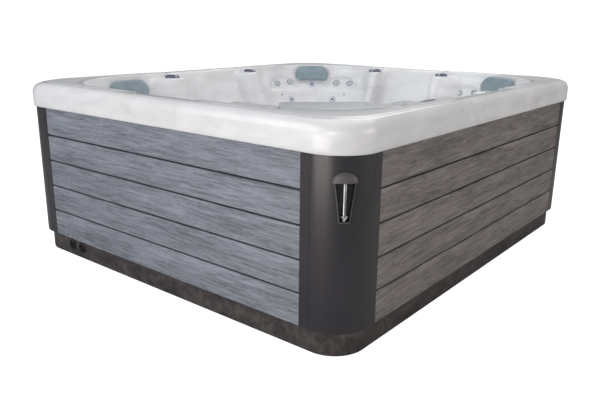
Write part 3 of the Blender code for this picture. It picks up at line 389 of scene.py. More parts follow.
KNOB_BODY = satin_finish("blue_grey_knob", (0.085, 0.10, 0.17), (0.15, 0.17, 0.26), 0.30, patch=40.0)
JET_FACE = satin_finish("pale_jet_face", (0.62, 0.66, 0.74), (0.74, 0.77, 0.83), 0.28, patch=45.0)
JET_EDGE = satin_finish("violet_jet_edge", (0.34, 0.37, 0.52), (0.46, 0.49, 0.64), 0.30, patch=45.0)
WING_JET = satin_finish("grey_jet_face", (0.36, 0.385, 0.43), (0.52, 0.545, 0.60), 0.34, patch=45.0)
LID = satin_finish("light_grey_lid", (0.45, 0.475, 0.51), (0.56, 0.585, 0.62), 0.45, patch=9.0, depth=0.0003)
KEYPAD = satin_finish("grey_keypad", (0.40, 0.42, 0.46), (0.52, 0.54, 0.58), 0.35, patch=25.0)
BUTTON = satin_finish("dark_button", (0.10, 0.11, 0.13), (0.17, 0.18, 0.21), 0.55, patch=60.0)
CAP_RING = satin_finish("grey_cap_ring", (0.50, 0.52, 0.55), (0.62, 0.64, 0.67), 0.40, patch=50.0)
BLACK = satin_finish("black_plastic", (0.008, 0.008, 0.009), (0.022, 0.022, 0.024), 0.36, patch=30.0)
PIPE = satin_finish("white_pipe", (0.66, 0.66, 0.63), (0.80, 0.80, 0.77), 0.38, patch=6.0, depth=0.0001)
GRATE = satin_finish("grey_grate", (0.36, 0.38, 0.41), (0.50, 0.52, 0.55), 0.42, patch=20.0)
ENAMEL = satin_finish("black_enamel", (0.016, 0.016, 0.018), (0.040, 0.040, 0.044), 0.32, patch=12.0,
                      depth=0.0004)
GLASS_FILLED = satin_finish("glass_filled", (0.28, 0.28, 0.26), (0.44, 0.44, 0.42), 0.6, patch=70.0)
BOX_GREY = satin_finish("box_grey", (0.15, 0.16, 0.17), (0.24, 0.25, 0.26), 0.5, patch=8.0)
TIMBER = timber_finish()
STEEL = steel_finish()
FELT = paper_finish()
LENS = lens_finish()


# ---------------------------------------------------------------- mesh helpers

def frame_matrix(origin, x_axis, y_axis, z_axis):
    """Turns a piece's own axes into the given ones, and its middle into the origin given."""
    turn = Matrix((x_axis, y_axis, z_axis)).transposed().to_4x4()
    return Matrix.Translation(origin) @ turn


def link(name, data):
    """A new object in the scene that shows a mesh, a light or a camera."""
    made = bpy.data.objects.new(name, data)
    bpy.context.scene.collection.objects.link(made)
    return made


def to_mesh(name, bm):
    """The mesh of a bmesh, which is freed."""
    mesh = bpy.data.meshes.new(name)
    bm.to_mesh(mesh)
    bm.free()
    return mesh


def carved(name, bm, tools):
    """The mesh of a body with the tools' bodies cut away from it."""
    body = link(name, to_mesh(name, bm))
    helpers = []
    for tool in tools:
        helpers.append(link(name + "_tool", to_mesh(name + "_tool", tool)))
        cut = body.modifiers.new("cut", "BOOLEAN")
        cut.operation = "DIFFERENCE"
        cut.solver = "EXACT"
        cut.object = helpers[-1]
    evaluated = body.evaluated_get(bpy.context.evaluated_depsgraph_get())
    mesh = bpy.data.meshes.new_from_object(evaluated)
    for item in helpers + [body]:
        bpy.data.objects.remove(item, do_unlink=True)
    mesh.name = name
    return mesh


def piece(name, shape, finish, body, nodes=(), matrix=None, angle=35):
    """Place a finished piece: its shape is a bmesh or a mesh, and it rides on a body."""
    mesh = to_mesh(name, shape) if isinstance(shape, bmesh.types.BMesh) else shape
    if matrix is not None:
        mesh.transform(matrix)
    mesh.materials.clear()
    mesh.materials.append(finish)
    mesh.shade_smooth()
    mesh.set_sharp_from_angle(angle=radians(angle))
    made = link(name, mesh)
    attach(made, body)
    if nodes:
        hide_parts(*nodes)
    return made


def rounded_box(size, radius, centre=(0, 0, 0), segments=3):
    """A box with rounded edges."""
    bm = bmesh.new()
    bmesh.ops.create_cube(bm, size=1.0, matrix=Matrix.Translation(centre) @ Matrix.Diagonal((*size, 1)))
    bmesh.ops.bevel(bm, geom=bm.edges[:], offset=radius, segments=segments, profile=0.5, affect="EDGES")
    return bm


def join(*parts):
    """Several bmeshes as one."""
    bm = parts[0]
    for part in parts[1:]:
        mesh = to_mesh("part", part)
        bm.from_mesh(mesh)
        bpy.data.meshes.remove(mesh)
    return bm


def lathe(profile, steps=40, stretch=(1.0, 1.0)):
    """A body turned about Z from (radius, height) points, running down its outer side."""
    bm = bmesh.new()
    turns = [2 * pi * i / steps for i in range(steps)]
    rings = []
    for radius, height in profile:
        wide, deep = stretch[0] * radius, stretch[1] * radius
        if radius < ON_AXIS:
            rings.append([bm.verts.new((0, 0, height))])
        else:
            rings.append([bm.verts.new((wide * cos(t), deep * sin(t), height)) for t in turns])
    for upper, lower in zip(rings[:-1], rings[1:]):
        for i in range(steps):
            j = (i + 1) % steps
            corners = [upper[i % len(upper)], lower[i % len(lower)],
                       lower[j % len(lower)], upper[j % len(upper)]]
            unique = list(dict.fromkeys(corners))
            if len(unique) > 2:
                bm.faces.new(unique)
    return bm


def arc(centre, radius, start, end, count):
    turns = [radians(start + (end - start) * i / count) for i in range(count + 1)]
    return [(centre[0] + radius * cos(t), centre[1] + radius * sin(t)) for t in turns]


def rounded_outline(half_x, half_y, radius, count=8):
    points = []
    for quarter, (sx, sy) in enumerate(((1, 1), (-1, 1), (-1, -1), (1, -1))):
        centre = (sx * (half_x - radius), sy * (half_y - radius))
        points += arc(centre, radius, 90 * quarter, 90 * quarter + 90, count)
    return points


def prism(outline, low, high, soft_top=0.0, soft_bottom=0.0, segments=3):
    """A flat outline raised from low to high, with its top or bottom edge rounded."""
    bm = bmesh.new()
    floor = bm.faces.new([bm.verts.new((x, y, low)) for x, y in outline])
    raised = bmesh.ops.extrude_face_region(bm, geom=[floor])
    tops = [item for item in raised["geom"] if isinstance(item, bmesh.types.BMVert)]
    bmesh.ops.translate(bm, verts=tops, vec=(0, 0, high - low))
    bmesh.ops.recalc_face_normals(bm, faces=bm.faces)
    for level, offset in ((high, soft_top), (low, soft_bottom)):
        if offset:
            edges = [e for e in bm.edges if all(abs(v.co.z - level) < 1e-7 for v in e.verts)]
            bmesh.ops.bevel(bm, geom=edges, offset=offset, segments=segments, profile=0.5, affect="EDGES")
    return bm


def corner_signs(corner):
    turn = radians(90 * corner + 45)
    return (1 if cos(turn) > 0 else -1, 1 if sin(turn) > 0 else -1)


def joint_spot(name):
    """A joint's point and axis."""
    found = next(joint for joint in frame["joints"] if joint["name"] == name)
    return Vector(found["pos_m"]), Vector(found["axis"]).normalized()


# ---------------------------------------------------------------- shell

def level_distances():
    """How far along the section each level lies, as the mean over its four kinds."""
    points = np.array([level[1:] for level in LEVELS])
    steps = np.linalg.norm(np.diff(points, axis=0), axis=2).mean(axis=1)
    return np.concatenate([[0.0], np.cumsum(steps)])


def smooth_curve(at, knots, values):
    """A curve through a table's rows that never overshoots them (monotone cubic)."""
    width = np.diff(knots)
    slope = np.diff(values, axis=0) / width[:, None]
    ahead, behind = slope[1:], slope[:-1]
    same = ahead * behind > 0
    outer = 2 * width[1:] + width[:-1]
    inner = width[1:] + 2 * width[:-1]
    safe_ahead, safe_behind = np.where(same, ahead, 1.0), np.where(same, behind, 1.0)
    middle = (outer + inner)[:, None] / (outer[:, None] / safe_behind + inner[:, None] / safe_ahead)
    tangent = np.vstack([slope[:1], np.where(same, middle, 0.0), slope[-1:]])
    cell = np.clip(np.searchsorted(knots, at, side="right") - 1, 0, len(width) - 1)
    share = ((at - knots[cell]) / width[cell])[:, None]
    wide = width[cell][:, None]
    low, high = values[cell], values[cell + 1]
    spot = low * (1 + 2 * share) * (1 - share) ** 2 + high * share ** 2 * (3 - 2 * share)
    lean = tangent[cell] * share * (1 - share) ** 2 - tangent[cell + 1] * share ** 2 * (1 - share)
    return spot + wide * lean


KNOTS = level_distances()
TABLE = np.array([[level[0]] + [number for kind in level[1:] for number in kind] for level in LEVELS])


def zone_weights(side, share, turn):
    """How much of each kind of section a station has: side, corner, ridge and filter."""
    weights = np.zeros(4)
    if turn is not None:
        weights[FILTER if side == FILTER_CORNER else CORNER] = 1.0
        return weights
    middle, half = SIDE_SEATS[side]
    off = share - middle
    ridge = exp(-(max(0.0, abs(abs(off) - half) - RIDGE_FLAT) / RIDGE_SPREAD) ** RIDGE_EDGE)
    corner = side if off > 0 else (side - 1) % 4
    other = SIDE if abs(off) < half else (FILTER if corner == FILTER_CORNER else CORNER)
    weights[RIDGE] = ridge
    weights[other] += 1.0 - ridge
    return weights


def share_at(side, share, level):
    """A station's share of the side at a level: the ridges splay as they run inwards."""
    middle, half = SIDE_SEATS[side]
    first, last = RIDGE_SPLAY_LEVELS
    wide = half * (1 + RIDGE_SPLAY * (min(max(level, first), last) - first))
    off = share - middle
    if abs(off) <= half:
        return middle + off * wide / half
    sign = copysign(1, off)
    edge = 1 - sign * middle
    return middle + sign * (wide + (edge - wide) * (abs(off) - half) / (edge - half))


def shell_point(side, share, turn, row, level, weights):
    """A point on the shell: row holds the section's numbers at that fractional level."""
    radius = row[0]
    inset = float(row[1::2] @ weights)
    height = float(row[2::2] @ weights)
    out = (Vector((1, 0)), Vector((0, 1)), Vector((-1, 0)), Vector((0, -1)))[side]
    along = Vector((-out.y, out.x))
    reach, half = (HALF_X, HALF_Y) if side % 2 == 0 else (HALF_Y, HALF_X)
    if turn is None:
        spot = out * (reach - inset) + along * (share_at(side, share, level) * (half - inset - radius))
        return Vector((spot.x, spot.y, height))
    away = out * cos(turn) + along * sin(turn)
    spot = out * (reach - inset - radius) + along * (half - inset - radius) + away * radius
    return Vector((spot.x, spot.y, height))


def section_rows():
    """(distance along the section, fractional level) of every ring of the fine shell."""
    rows = []
    for level, count in enumerate(RINGS_BETWEEN):
        for step in range(count):
            rows.append(level + step / count)
    rows.append(float(len(LEVELS) - 1))
    levels = np.array(rows)
    return np.interp(levels, np.arange(len(LEVELS)), KNOTS), levels


def wall_spot(corner, along, height):
    """Point, inward normal and upward direction on a corner seat's backrest.

    along is measured round the wall from the corner's diagonal, anticlockwise.
    """
    bend = min(max(along / WALL_RADIUS, -pi / 4), pi / 4)
    turn = pi / 4 + bend
    weights = zone_weights(corner, 1.0, turn)
    heading = radians(90 * corner) + turn
    rest = Vector((-sin(heading), cos(heading), 0)) * (along - bend * WALL_RADIUS)

    def point(distance, angle):
        row = smooth_curve(np.array([distance]), KNOTS, TABLE)[0]
        return shell_point(corner, 1.0, angle, row, 0.0, weights) + rest

    low, high = KNOTS[SHOULDER], KNOTS[SEAT_BACK]
    for _ in range(30):
        middle = (low + high) / 2
        if point(middle, turn).z > height:
            low = middle
        else:
            high = middle
    spot = point(low, turn)
    up = (point(low - 0.004, turn) - point(low + 0.004, turn)).normalized()
    across = (point(low, turn + 0.01) - point(low, turn - 0.01)).normalized()
    normal = across.cross(up).normalized()
    if normal.dot(Vector((spot.x, spot.y, 0))) > 0:
        normal = -normal
    return spot, normal, up


def smooth_step(low, high, value):
    share = np.clip((value - low) / (high - low), 0.0, 1.0)
    return share * share * (3 - 2 * share)


def wing_depth(along, height):
    """Depth of the two hollows beside a headrest: arched above and flat below."""
    away = np.abs(along) - WING_MIDDLE
    rise = height - WING_Z
    rise = rise / np.where(rise > 0, WING_ABOVE, WING_BELOW)
    size = np.sqrt((away / WING_HALF) ** 2 + rise ** 2)
    return WING_DEEP * (1 - smooth_step(0.72, 1.0, size))


def flatten(points, centre, normal, inner, outer, sink):
    """Pull the points near a fitting onto the plane that it sits on."""
    off = points - np.array(centre)
    normal = np.array(normal)
    lift = off @ normal
    flat = np.linalg.norm(off - lift[..., None] * normal, axis=-1)
    near = np.abs(lift) < 0.05
    weight = np.where(near, 1 - smooth_step(inner, outer, flat), 0.0)
    return points - (weight * (lift + sink))[..., None] * normal


def shell_grid():
    """The fine shell's points, ring by ring from the rim's foot to the footwell's floor."""
    distances, levels = section_rows()
    rows = smooth_curve(distances, KNOTS, TABLE)
    stations = []
    for side in range(4):
        stations += [(side, -1 + 2 * step / SIDE_STEPS, None) for step in range(SIDE_STEPS)]
        stations += [(side, 1.0, pi / 2 * step / CORNER_STEPS) for step in range(CORNER_STEPS)]
    grid = np.zeros((len(rows), len(stations), 3))
    along = np.full(len(stations), 9.0)
    open_wall = np.zeros(len(stations))
    for index, (side, share, turn) in enumerate(stations):
        weights = zone_weights(side, share, turn)
        for ring, (row, level) in enumerate(zip(rows, levels)):
            grid[ring, index] = shell_point(side, share, turn, row, level, weights)
        open_wall[index] = weights[CORNER]
        half = (HALF_Y if side % 2 == 0 else HALF_X) - WALL_RADIUS - WALL_START
        away = (1 - abs(share)) * half + pi / 4 * WALL_RADIUS
        for corner, middle in WING_CORNERS.values():
            if corner == (side if share > 0 else (side - 1) % 4):
                off = (turn - pi / 4) * WALL_RADIUS if turn is not None else -copysign(away, share)
                along[index] = off - middle
    return grid, along, open_wall, levels


def outward(grid):
    """Unit normals of the grid, pointing to the side that bathers see."""
    round_it = np.roll(grid, -1, axis=1) - np.roll(grid, 1, axis=1)
    down = np.gradient(grid, axis=0)
    normal = np.cross(round_it, down)
    return normal / np.maximum(np.linalg.norm(normal, axis=2, keepdims=True), 1e-9)


def make_shell():
    grid, along, open_wall, levels = shell_grid()
    normals = outward(grid)
    if normals[10, 10] @ grid[10, 10] < 0:
        normals = -normals
    on_wall = ((levels > WING_LEVELS[0]) & (levels < WING_LEVELS[1]))[:, None]
    depth = np.where(on_wall, wing_depth(along[None, :], grid[:, :, 2]) * open_wall, 0.0)
    grid = grid - depth[..., None] * normals
    crease = sum(CREASE_DEEP * np.exp(-((levels - middle) / wide) ** 2) for middle, wide in RIM_CREASES)
    grid = grid - crease[:, None, None] * normals
    for name in [joint["name"] for joint in frame["joints"]]:
        if name.startswith("jet_"):
            grid = flatten(grid, *joint_spot(name), *JET_PAD)
        elif "_knob_" in name:
            grid = flatten(grid, *joint_spot(name), *KNOB_PAD)
    bm = bmesh.new()
    rings = [[bm.verts.new(point) for point in ring] for ring in grid]
    count = len(rings[0])
    for upper, lower in zip(rings[:-1], rings[1:]):
        for i in range(count):
            j = (i + 1) % count
            bm.faces.new((upper[i], upper[j], lower[j], lower[i]))
    centre = bm.verts.new((0, 0, grid[-1, 0, 2] - 0.001))
    for i in range(count):
        bm.faces.new((rings[-1][i], rings[-1][(i + 1) % count], centre))
    bmesh.ops.recalc_face_normals(bm, faces=bm.faces)
    top = max(bm.faces, key=lambda face: face.calc_center_median().z)
    if top.normal.z < 0:
        bmesh.ops.reverse_faces(bm, faces=bm.faces)
    skin = link("shell_skin", to_mesh("shell_skin", bm))
    wall = skin.modifiers.new("thickness", "SOLIDIFY")
    wall.thickness = SHELL_THICK
    wall.offset = -1
    evaluated = skin.evaluated_get(bpy.context.evaluated_depsgraph_get())
    solid = bmesh.new()
    solid.from_mesh(bpy.data.meshes.new_from_object(evaluated))
    bpy.data.objects.remove(skin, do_unlink=True)
    mesh = carved("acrylic_shell", solid, bay_cutters())
    piece("acrylic_shell", mesh, ACRYLIC, "tub", ["shell"], angle=50)


# Filter bay, measured inwards from the cabinet's virtual corner along the diagonal
def bay_frame():
    sx, sy = corner_signs(FILTER_CORNER)
    inward = Vector((-sx, -sy, 0)).normalized()
    return frame_matrix(Vector((sx * HALF_X, sy * HALF_Y, 0)), inward.cross(UP), inward, UP)


BAY = bay_frame()
BAY_BACK, BAY_FRONT, BAY_HALF, BAY_BOTTOM = 0.405, 0.585, 0.168, 0.520
LID_BACK, LID_FRONT, LID_HALF, LID_NOSE = 0.363, 0.608, 0.205, 0.040
LID_LOW, LID_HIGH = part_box("filter_lid")[0].z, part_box("filter_lid")[1].z
WEIR_HALF, WEIR_LOW, WEIR_HIGH, WEIR_AT = 0.075, 0.735, 0.835, 0.612


def bay_cutters():
    """The lid's opening through the ledge, and the weir's slot through the basin's wall."""
    middle, half = (BAY_BACK + BAY_FRONT) / 2, (BAY_FRONT - BAY_BACK) / 2
    opening = prism(rounded_outline(BAY_HALF - 0.008, half - 0.008, 0.03, 6), 0.87, 0.97)
    opening.transform(BAY @ Matrix.Translation((0, middle, 0)))
    tall = (WEIR_HIGH - WEIR_LOW) / 2 + 0.008
    slot = prism(rounded_outline(WEIR_HALF + 0.006, tall, 0.014, 5), -0.07, 0.05)
    lift = Matrix.Translation((0, 0.65, (WEIR_LOW + WEIR_HIGH) / 2))
    slot.transform(BAY @ lift @ Matrix.Rotation(radians(90), 4, "X"))
    return [opening, slot]


# ---------------------------------------------------------------- cabinet

def make_panels():
    """Five boards a side on a dark backing sheet."""
    for side, name in enumerate(("right", "back", "left", "front")):
        low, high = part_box(name + "_panel")
        turned = side % 2 == 0
        length = (high.y - low.y) if turned else (high.x - low.x)
        body = "front_access_panel" if name == "front" else "tub"
        turn = radians(90 * side)
        out = Vector((cos(turn), sin(turn), 0))
        reach = HALF_X if turned else HALF_Y
        matrix = frame_matrix(out * reach, out, UP.cross(out), UP)
        boards = []
        for index in range(BOARD_COUNT):
            last = index == BOARD_COUNT - 1
            bottom = PANEL_LOW + BOARD_PITCH * index + (GROOVE / 2 if index else 0)
            top = PANEL_HIGH if last else PANEL_LOW + BOARD_PITCH * (index + 1) - GROOVE / 2
            boards.append(rounded_box((BOARD_THICK, length, top - bottom), 0.0028,
                                      (-BOARD_THICK / 2, 0, (top + bottom) / 2)))
        # Side boards take the copy with painted warm shade, front and back boards the copy with painted cool
        # light.
        piece(name + "_boards", join(*boards), BOARD_PAINTED_WARM_SHADE if turned else BOARD_PAINTED_COOL_LIGHT, body,
              [name + "_panel"], matrix)
        sheet = rounded_box((0.0055, length - 0.004, PANEL_HIGH - PANEL_LOW - 0.004), 0.0012,
                            (-BOARD_THICK - 0.003, 0, (PANEL_LOW + PANEL_HIGH) / 2), 1)
        piece(name + "_backing", sheet, BACKING, body, (), matrix)


def pillar_outline():
    """A corner pillar's plan, its virtual corner at the origin, with a crease at each flange."""
    centre = (-PILLAR_RADIUS, -PILLAR_RADIUS)
    crease, sunk = 0.0016, 0.0011
    start = [(0, -PILLAR_REACH), (0, -PILLAR_RADIUS - 3 * crease), (-sunk, -PILLAR_RADIUS - 2 * crease),
             (0, -PILLAR_RADIUS - crease)]
    finish = [(y, x) for x, y in start[::-1]]
    outer = start + arc(centre, PILLAR_RADIUS, 0, 90, 40) + finish
    inner = ([(-PILLAR_REACH, -PILLAR_THICK)] + arc(centre, PILLAR_RADIUS - PILLAR_THICK, 90, 0, 24)
             + [(-PILLAR_THICK, -PILLAR_REACH)])
    return outer + inner


# Corner light, about its frame's middle: X across, Y up and Z out of the pillar
LIGHT_LOW, LIGHT_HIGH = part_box("corner_light_front_right")[0].z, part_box("corner_light_front_right")[1].z
LIGHT_HALF = (LIGHT_HIGH - LIGHT_LOW) / 2
LIGHT_TOP_HALF, LIGHT_FOOT_HALF = 0.040, 0.021
LIGHT_PROUD, LIGHT_DEEP, LIGHT_FLOOR = 0.010, 0.022, 0.011
HOOD_RADIUS, HOOD_TALL, HOOD_DEEP = 0.047, 0.039, 0.021
SPRING = LIGHT_HALF - HOOD_TALL
MOUTH_TOP_HALF, MOUTH_FOOT_HALF, MOUTH_SILL = 0.0385, 0.0185, 0.005
ROD_RADIUS = 0.0078


def light_matrix(corner):
    sx, sy = corner_signs(corner)
    out = Vector((sx, sy, 0)).normalized()
    face = PILLAR_RADIUS * (sqrt(2) - 1)
    origin = Vector((sx * HALF_X, sy * HALF_Y, (LIGHT_LOW + LIGHT_HIGH) / 2)) - out * face
    return frame_matrix(origin, UP.cross(out), UP, out)


def light_outline(grow):
    radius = HOOD_RADIUS + grow
    crown = [(x, SPRING + y * (HOOD_TALL + grow) / radius) for x, y in arc((0, 0), radius, -3, 183, 24)]
    sides = [(LIGHT_TOP_HALF + grow, SPRING - 0.004 - grow), (LIGHT_FOOT_HALF + grow, -LIGHT_HALF - grow)]
    return crown + [(-x, y) for x, y in sides] + sides[::-1]


def make_pillars():
    names = ("back_right", "back_left", "front_left", "front_right")
    for corner, name in enumerate(names):
        sx, sy = corner_signs(corner)
        place = (Matrix.Translation((sx * HALF_X, sy * HALF_Y, 0))
                 @ Matrix.Rotation(radians(90 * corner), 4, "Z"))
        body = prism(pillar_outline(), PANEL_LOW, PANEL_HIGH)
        body.transform(place)
        tools = []
        if corner == FILTER_CORNER:
            hole = prism(light_outline(0.0004), -0.05, 0.05)
            hole.transform(light_matrix(corner))
            tools.append(hole)
            make_corner_light(name, light_matrix(corner))
        mesh = carved("pillar_" + name + "_cover", body, tools)
        piece("pillar_" + name + "_cover", mesh, CHARCOAL, "tub", ["pillar_" + name], angle=25)


def make_corner_light(name, matrix):
    """A half-round hood over a tapering frame, with a satin metal rod in its black recess."""
    sill = MOUTH_SILL - LIGHT_HALF
    plate = prism(light_outline(0.0), -LIGHT_DEEP, LIGHT_PROUD, soft_top=0.0025)
    mouth = [(MOUTH_FOOT_HALF, sill), (MOUTH_TOP_HALF, SPRING + 0.004),
             (-MOUTH_TOP_HALF, SPRING + 0.004), (-MOUTH_FOOT_HALF, sill)]
    plate = carved("corner_light_%s_frame" % name, plate, [prism(mouth, -LIGHT_FLOOR, 0.04)])
    piece("corner_light_%s_frame" % name, plate, HOOD, "tub",
          ["corner_light_" + name], matrix, angle=30)

    inside = [(x * 0.985, y) for x, y in mouth]
    tray = carved("recess", prism(inside, -LIGHT_FLOOR + 0.0003, LIGHT_PROUD - 0.002),
                  [prism([(x * 0.94, y * 0.985) for x, y in inside], -LIGHT_FLOOR + 0.0015, 0.05)])
    piece("corner_light_%s_recess" % name, tray, RECESS, "tub", (), matrix, angle=30)

    hood = bmesh.new()
    bmesh.ops.create_uvsphere(hood, u_segments=48, v_segments=32, radius=1.0)
    for vert in hood.verts:
        x, y, z = vert.co
        vert.co = (HOOD_RADIUS * x, SPRING + HOOD_TALL * y, HOOD_DEEP * copysign(abs(z) ** 0.75, z))
    for at, towards in (((0, 0, 0.004), (0, 0, 1)), ((0, SPRING - 0.0006, 0), (0, 1, 0))):
        cells = hood.verts[:] + hood.edges[:] + hood.faces[:]
        bmesh.ops.bisect_plane(hood, geom=cells, plane_co=at, plane_no=towards, clear_inner=True)
        bmesh.ops.holes_fill(hood, edges=[edge for edge in hood.edges if edge.is_boundary])
    piece("corner_light_%s_hood" % name, hood, HOOD, "tub", (), matrix, angle=40)

    tall = (SPRING - sill) / 2
    rod = lathe([(0, tall), (ROD_RADIUS * 0.7, tall - 0.0006), (ROD_RADIUS, tall - 0.004),
                 (ROD_RADIUS, 0.004 - tall), (0, -tall + 0.001)], 40)
    lean = Matrix.Translation((0, (SPRING + sill) / 2, 0.001)) @ Matrix.Rotation(radians(-90), 4, "X")
    piece("corner_light_%s_rod" % name, rod, ROD_METAL, "tub", ["corner_light_rod_" + name],
          matrix @ lean, angle=40)
    foot = prism([(0, -0.001), (MOUTH_FOOT_HALF * 0.72, 0.020), (MOUTH_FOOT_HALF * 0.38, 0.020), (0, 0.008),
                  (-MOUTH_FOOT_HALF * 0.38, 0.020), (-MOUTH_FOOT_HALF * 0.72, 0.020)], 0.0, 0.006, 0.0008)
    piece("corner_light_%s_foot" % name, foot, PALE_CHROME, "tub", (),
          matrix @ Matrix.Translation((0, sill + 0.003, 0.0032)), angle=30)


def make_base():
    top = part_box("base_pan")[1].z
    half_x, half_y = HALF_X - BASE_INSET, HALF_Y - BASE_INSET
    outer = prism(rounded_outline(half_x, half_y, BASE_RADIUS, 24), 0.0, top, 0.0, 0.008, 4)
    inner = prism(rounded_outline(half_x - BASE_WALL, half_y - BASE_WALL, BASE_RADIUS - BASE_WALL, 24),
                  0.012, top + 0.05)
    tools = [inner]
    for cap in DRAIN_CAPS:
        spot = joint_spot(cap + "_turn")[0]
        hole = lathe([(0, 0.03), (0.0262, 0.03), (0.0262, -0.03), (0, -0.03)], 32)
        hole.transform(port_matrix(spot))
        tools.append(hole)
    mesh = carved("base_pan_moulding", outer, tools)
    piece("base_pan_moulding", mesh, MOTTLED, "tub", ["base_pan"], angle=30)


def port_matrix(spot):
    return Matrix.Translation(spot) @ Matrix.Rotation(radians(90), 4, "X")


def make_drain_ports():
    """Two black turning ports, each with a ribbed ring and a bar to grip."""
    for cap in DRAIN_CAPS:
        spot = joint_spot(cap + "_turn")[0]
        ring = lathe([(0, -0.003), (0.017, -0.003), (0.0185, -0.001), (0.021, 0.0055), (0.0235, 0.0065),
                      (0.026, 0.005), (0.0265, 0.0035), (0.029, 0.0045), (0.031, 0.0035), (0.031, 0.0006),
                      (0.0252, 0.0006), (0.0252, -0.014), (0, -0.014)], 48)
        bar = rounded_box((0.030, 0.0055, 0.008), 0.0015, (0, 0, 0.001), 2)
        turn = Matrix.Rotation(radians(62), 4, "Z")
        piece(cap + "_ring", ring, BLACK, cap, [cap], port_matrix(spot))
        piece(cap + "_bar", bar, BLACK, cap, (), port_matrix(spot) @ turn)


def make_panel_latches():
    """Two small oval bright latches at the foot of the access panel."""
    for index, cap in enumerate(DRAIN_CAPS):
        spot = joint_spot(cap + "_turn")[0]
        matrix = port_matrix(Vector((spot.x + 0.004, -HALF_Y, PANEL_LOW + 0.017)))
        plate = lathe([(0, 0.0028), (0.62, 0.0028), (0.80, 0.0034), (0.93, 0.0028), (1.0, 0.0008),
                       (1.0, -0.002), (0, -0.002)], 40, stretch=(0.0180, 0.0095))
        heart = lathe([(0, 0.0040), (0.30, 0.0038), (0.46, 0.0028), (0.46, 0.0020), (0, 0.0020)], 24,
                      stretch=(0.0180, 0.0095))
        piece("panel_latch_%d" % (index + 1), plate, PALE_CHROME, "front_access_panel", (), matrix)
        piece("panel_latch_slot_%d" % (index + 1), heart, BLACK, "front_access_panel", (), matrix)


# ---------------------------------------------------------------- fittings

HEADREST_WIDE, HEADREST_TOP_WIDE, HEADREST_FOOT_WIDE = 0.290, 0.216, 0.248
HEADREST_TALL, HEADREST_THICK, HEADREST_TOP = 0.117, 0.036, 0.943
HEADREST_ARCH, HEADREST_LEAN, HEADREST_STAND = 0.019, 0.30, 0.009
HEADREST_SPOTS = {"back_right": 0.20, "back_left": -0.008, "front_left": -0.381}
HEADREST_SINK = {"back_right": 0.008, "back_left": 0.004, "front_left": 0.021}
JET_RADIUS = 0.025

# Fixed jets beside a headrest: distance round the wall from its middle, and height
WING_JETS = ((-0.309, 0.821), (-0.200, 0.821), (0.163, 0.825), (0.280, 0.820))
WING_JET_SIZE = (0.028, 0.0215)
AIR_JETS = ((-0.275, 0.730), (0.262, 0.730))


def wall_plan(corner, along):
    """Point and outward direction on the lip's plan, at a distance round it from a corner's diagonal."""
    radius, inset = LEVELS[LIP][0], LEVELS[LIP][1 + CORNER][0]
    sx, sy = corner_signs(corner)
    bend = min(max(along / radius, -pi / 4), pi / 4)
    turn = radians(90 * corner + 45) + bend
    out = Vector((cos(turn), sin(turn), 0))
    centre = Vector((sx * (HALF_X - inset - radius), sy * (HALF_Y - inset - radius), 0))
    return centre + out * radius + UP.cross(out) * (along - bend * radius), out


def make_headrest(name, corner):
    """A crowned pillow bent to the wall, widest half-way down, with an arched lower edge."""
    bm = bmesh.new()
    bmesh.ops.create_cube(bm, size=2.0)
    bmesh.ops.subdivide_edges(bm, edges=bm.edges, cuts=17, use_grid_fill=True)
    for vert in bm.verts:
        x, y, z = vert.co
        size = (abs(x) ** 7 + abs(z) ** 6 + abs(y) ** 3.4) ** (1 / 5.5)
        shrink = min(1.0, 1.03 * max(abs(x), abs(y), abs(z)) / size)
        x, y, z = x * shrink, y * shrink, z * shrink
        edge_wide = HEADREST_TOP_WIDE if z > 0 else HEADREST_FOOT_WIDE
        wide = HEADREST_WIDE + (edge_wide - HEADREST_WIDE) * abs(z) ** 1.5
        spot, out = wall_plan(corner, HEADREST_SPOTS[name] - x * wide / 2)
        drop = HEADREST_SINK[name] + (1 - z) / 2 * HEADREST_TALL
        drop -= HEADREST_ARCH * (1 - x * x) * max(0.0, -z) ** 1.3
        crown = 1 - 0.30 * x ** 4 if y < 0 else 1.0
        spot = spot - out * (HEADREST_STAND + drop * HEADREST_LEAN + (1 - y * crown) * HEADREST_THICK / 2)
        vert.co = (spot.x, spot.y, HEADREST_TOP - drop)
    bmesh.ops.recalc_face_normals(bm, faces=bm.faces)
    pillow = piece("headrest_pillow_" + name, bm, FOAM, "headrest_" + name, ["headrest_" + name],
                   angle=60)
    fine = pillow.modifiers.new("fine", "SUBSURF")
    fine.levels = fine.render_levels = 1


